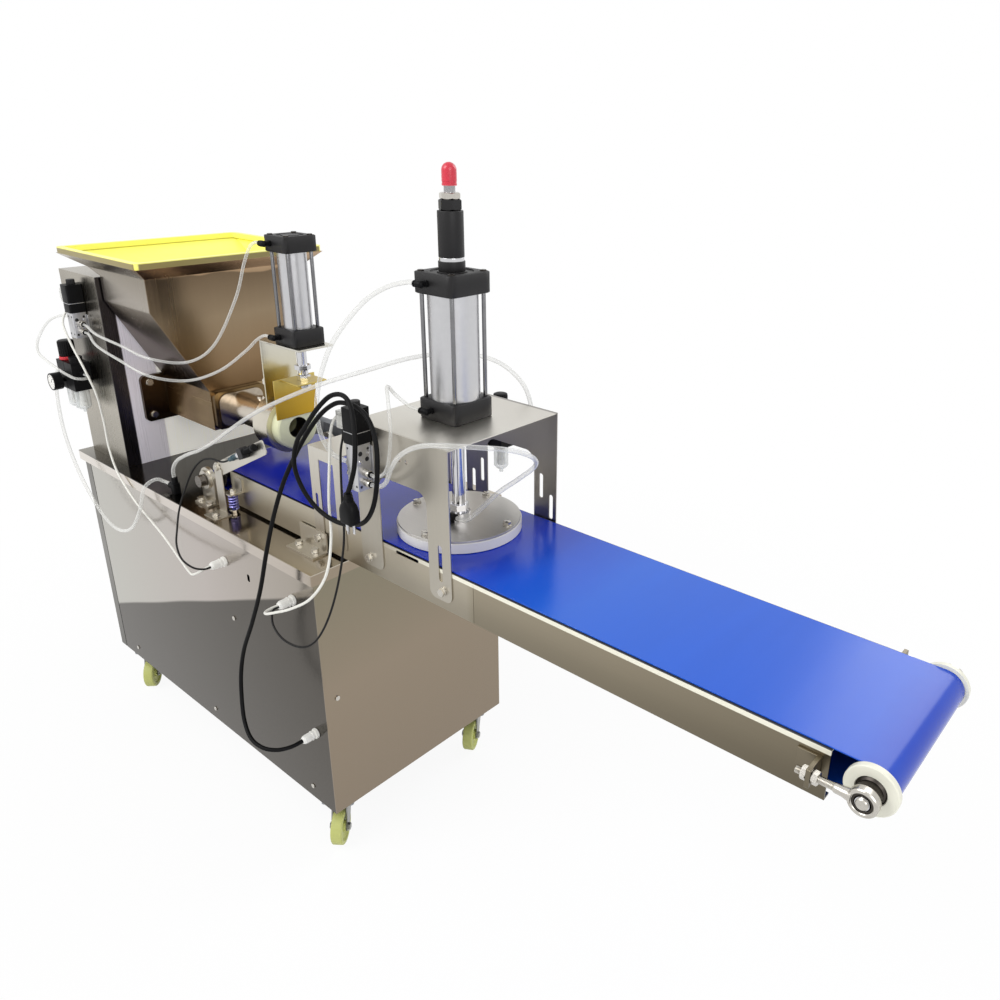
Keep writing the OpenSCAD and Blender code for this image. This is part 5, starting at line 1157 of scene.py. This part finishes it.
needle = [(GAUGE_X + x, GAUGE_Z + z)
          for x, z in ((-1.2, -1.2), (1.2, -1.2), (9.5, 8.6), (8.6, 9.5))]
marks.append(extruded(needle, -56.5, -56.2, "y"))
piece("gauge_marks", joined(*marks), SHADE_AND_PRINT_BLACK, "regulator_bodies")
insert = [(8, 800), (9, 801), (9, 812), (7.5, 813), (7.5, 838)]
inserts = [turned(insert, at) for at in (PREPARER, LUBRICATOR, REGULATOR + np.array([0, 0, 12]))]
piece("filter_inserts", joined(*inserts), WHITE_PLASTIC, "filter_bowls")
print("air preparation ready")

# %% [markdown]
# ## Tail of the conveyor
# The tail axle hangs in two rod-end eyes, and their threads pull the belt tight against a folded
# tab. An eye is a ring round a ball, so from the side it shows ring after ring. The idler's white
# end discs stand a little proud of the belt and keep it in line.

# %% Rod ends, nuts, tabs and end discs
TAIL, ROLLER_Z, EYE_Y = 995.0, 717.0, 43.0
eye = [(13.6, -6), (17.2, -6), (18.4, -4.6), (18.4, 4.6), (17.2, 6), (13.6, 6), (12.8, 5.2),
       (12.8, -5.2)]
race = [(10.2, -4.4), (12.4, -4.4), (12.4, 4.4), (10.2, 4.4)]
ball = [(7.6, -5.4), (8.6, -5.4), (9.8, -3), (9.8, 3), (8.6, 5.4), (7.6, 5.4)]
hub = (TAIL, EYE_Y, ROLLER_Z)
neck = turned([(9.5, 13), (7.6, 18), (6.4, 24), (6.2, 33), (5.2, 35)], hub, -ALONG, 24)
nuts = [hexagon(15.6, low, high, (0, EYE_Y, ROLLER_Z), ALONG)
        for low, high in ((920.5, 927.8), (934.2, 942))]
tab = joined(extruded(round_rect(34, 67, 704, 730, 1.5), 928, 934, "x"),
             block(903, 934, 64.4, 67.9, 704, 730))
for name, shape, finish, bevel in (
        ("rod_eyes", joined(turned(eye, hub, BACK, 48, bore=True), neck), BOLT_STEEL, 0),
        ("rod_races", turned(race, hub, BACK, 40, bore=True), DARK_METAL, 0),
        ("rod_balls", turned(ball, hub, BACK, 40, bore=True), CHROME, 0),
        ("rod_threads", threaded(5, 31, 82, hub, -ALONG), BOLT_STEEL, 0),
        ("rod_nuts", joined(*nuts), BOLT_STEEL, 0), ("rod_tabs", tab, RAIL, 0.6)):
    piece(name, joined(shape, mirrored(shape)), finish, "belt_tensioners", True, bevel)
middle = (TAIL, 0, ROLLER_Z)
axle = [(3.0, 35), (6.4, 35), (7.6, 36.2), (7.6, 359.8), (6.4, 361), (3.0, 361)]
piece("tail_axle", turned(axle, middle, BACK, 32), BOLT_STEEL, "belt_tensioners", True)
disc = [(19.5, 63.4), (31.6, 63), (33, 64.2), (33, 71.4), (19, 71.5), (18.6, 65)]
inner = [(14.8, 49.5), (15.4, 52), (15.4, 62), (19.4, 66.2), (19.4, 71), (9, 71), (9, 49.5)]
for name, profile, sides, finish in (("end_discs", disc, 64, DISC_PLASTIC),
                                     ("end_hubs", inner, 48, DARK_METAL)):
    shape = turned(profile, middle, BACK, sides, bore=True)
    piece(name, joined(shape, mirrored(shape)), finish, "tail_roller", True)
# Painted shade: the idler under the belt is black.
piece("idler", peg(25.7, 71.6, 324.4, 0.5, middle, BACK, 64), SHADE_AND_PRINT_BLACK, "tail_roller", True)
print("tail ready")

# %% [markdown]
# ## Sensor, glands and springs
# The feed sensor is a threaded barrel in a clamp on the tilting arm: a dark head, a chrome neck
# and a teal end with the cable. The glands are ribbed nuts on a hexagon, white as the cable.


# %% Sensor on its arm, glands and spring posts
def on_arm(u, w, y):
    """A place on the sensor's arm, u along it and w across, which leans 27 degrees."""
    c, s = math.cos(math.radians(27)), math.sin(math.radians(27))
    return np.array([-366 + u * c - w * s, y, 761 + u * s + w * c])


ARM = on_arm(1, 0, 0) - on_arm(0, 0, 0)
seat = on_arm(0, 2, 30.3)
thread = [(7 - 0.7 * (k % 2), 156 + k) for k in range(1, 26)]
head = [(6.2, 150), (7, 151), (7, 156)] + thread + [(7, 182), (7, 188.5), (6, 190)]
neck = [(5.6, 118), (6.4, 119), (6.4, 131), (6.0, 132), (6.0, 151)]
tail = [(3.4, 78), (4.5, 79), (4.5, 91), (5.9, 92), (5.9, 100), (5.3, 101), (5.3, 104), (6, 105),
        (6, 119)]
for name, profile, finish in (("sensor_head", head, BLACK_PLASTIC), ("sensor_neck", neck, CHROME),
                              ("sensor_tail", tail, TEAL)):
    piece(name, turned(profile, seat, ARM, 32), finish, "feed_sensor", True)
outline = [on_arm(u, w, 0)[[0, 2]] for u, w in round_rect(132, 150, -9, 13, 2.5)]
piece("sensor_clamp", extruded(outline, 21.3, 37.2, "y"), BLACK_PAINT, "feed_sensor", True, 0.8)
ribs = ridged(8.8, 16, 0.8)
glands = []
for x, z in ((-314, 578), (-70, 582), (-40, 289)):
    at = (x, 0, z)
    glands += [hexagon(19, 0.2, 7, at, -BACK), peg(8.4, 6.5, 11, 0.3, at, -BACK, 32),
               hexagon(17.4, 10.5, 14, at, -BACK),
               stacked([(8.4, 14), (ribs, 14.8), (ribs, 28), (8.0, 30), (6.4, 33), (5.4, 34)],
                       at, -BACK)]
piece("gland_bodies", joined(*glands), WHITE_PLASTIC, "cable_glands", True)
post = peg(4.6, 664, 706, 0.3, (-343, 50, 0), sides=24)
piece("spring_posts", joined(post, mirrored(post)), SPRING_CORE, "foot_springs")
print("sensor, glands and springs ready")

# %% [markdown]
# ## Solids that keep their shape
# Most of the machine is folded sheet and machined bar, and the frame already holds its true
# shape. These pieces are eased copies of the solids in their own finishes. What sits inside the
# cabinet and the column isn't seen, so it stays a solid and only gets its paint.

# %% Eased solids
EASED = {
    "cabinet_shell": (CABINET, 0.8), "rear_door": (DOOR, 0.9), "top_tray": (TRAY_STEEL, 0.9),
    "cabinet_screws": (BOLT_STEEL, 0.6), "caster_plates": (ZINC, 0.6),
    "column_shell": (COLUMN, 0.9), "feed_housing": (HOUSING, 1.6), "outlet_pipe": (OUTLET, 1.4),
    "nozzle_insert": (INSERT_PLASTIC, 0.6), "hopper_body": (HOPPER, 0.8),
    "hopper_liner": (YELLOW_LINER, 0.9), "cutter_bracket": (BRACKET, 1.0),
    "cylinder_barrels": (ALUMINIUM, 0.4), "cutter_rod": (CHROME, 0.5), "cutter_blade": (GOLD, 0.7),
    "conveyor_frame": (RAIL, 0.8), "belt": (BELT, 0.4), "drive_roller": (HUB, 0.5),
    "conveyor_feet": (FOOT, 0.8), "foot_springs": (SPRING, 0.0), "hex_bolts": (BOLT_STEEL, 0.5),
    "gantry": (GANTRY, 0.7), "guide_portal": (PORTAL, 0.7), "press_rod": (CHROME, 0.5),
    "press_plate": (PLATE, 0.6), "press_pad": (PAD_PLASTIC, 0.8), "sensor_post": (FOOT, 0.5),
    "sensor_arm": (FOOT, 0.4), "regulator_bodies": (BLACK_PLASTIC, 0.8),
    "filter_bowls": (BOWL, 0.6)}
for i in range(1, 5):
    EASED[f"caster_fork_{i}"] = (FORK, 0.5)
    EASED[f"caster_wheel_{i}"] = (WHEEL, 0.8)
KEPT = {"control_box": BOX_PAINT, "gear_motors": MOTOR_PAINT, "auger_left": CHROME,
        "auger_right": CHROME}

for node, (finish, bevel) in EASED.items():
    softened(node, finish, bevel)
for node, finish in KEPT.items():
    solid = frame["nodes"][node]
    solid.data.materials.clear()
    solid.data.materials.append(finish)
print("eased", len(EASED), "kept", len(KEPT))

# %% [markdown]
# ## Finish
# The last cell lists the dressed model's box beside the frame's own.

# %% Sizes and finish
[[list(corner) for corner in box] for box in (cad_box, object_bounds())]
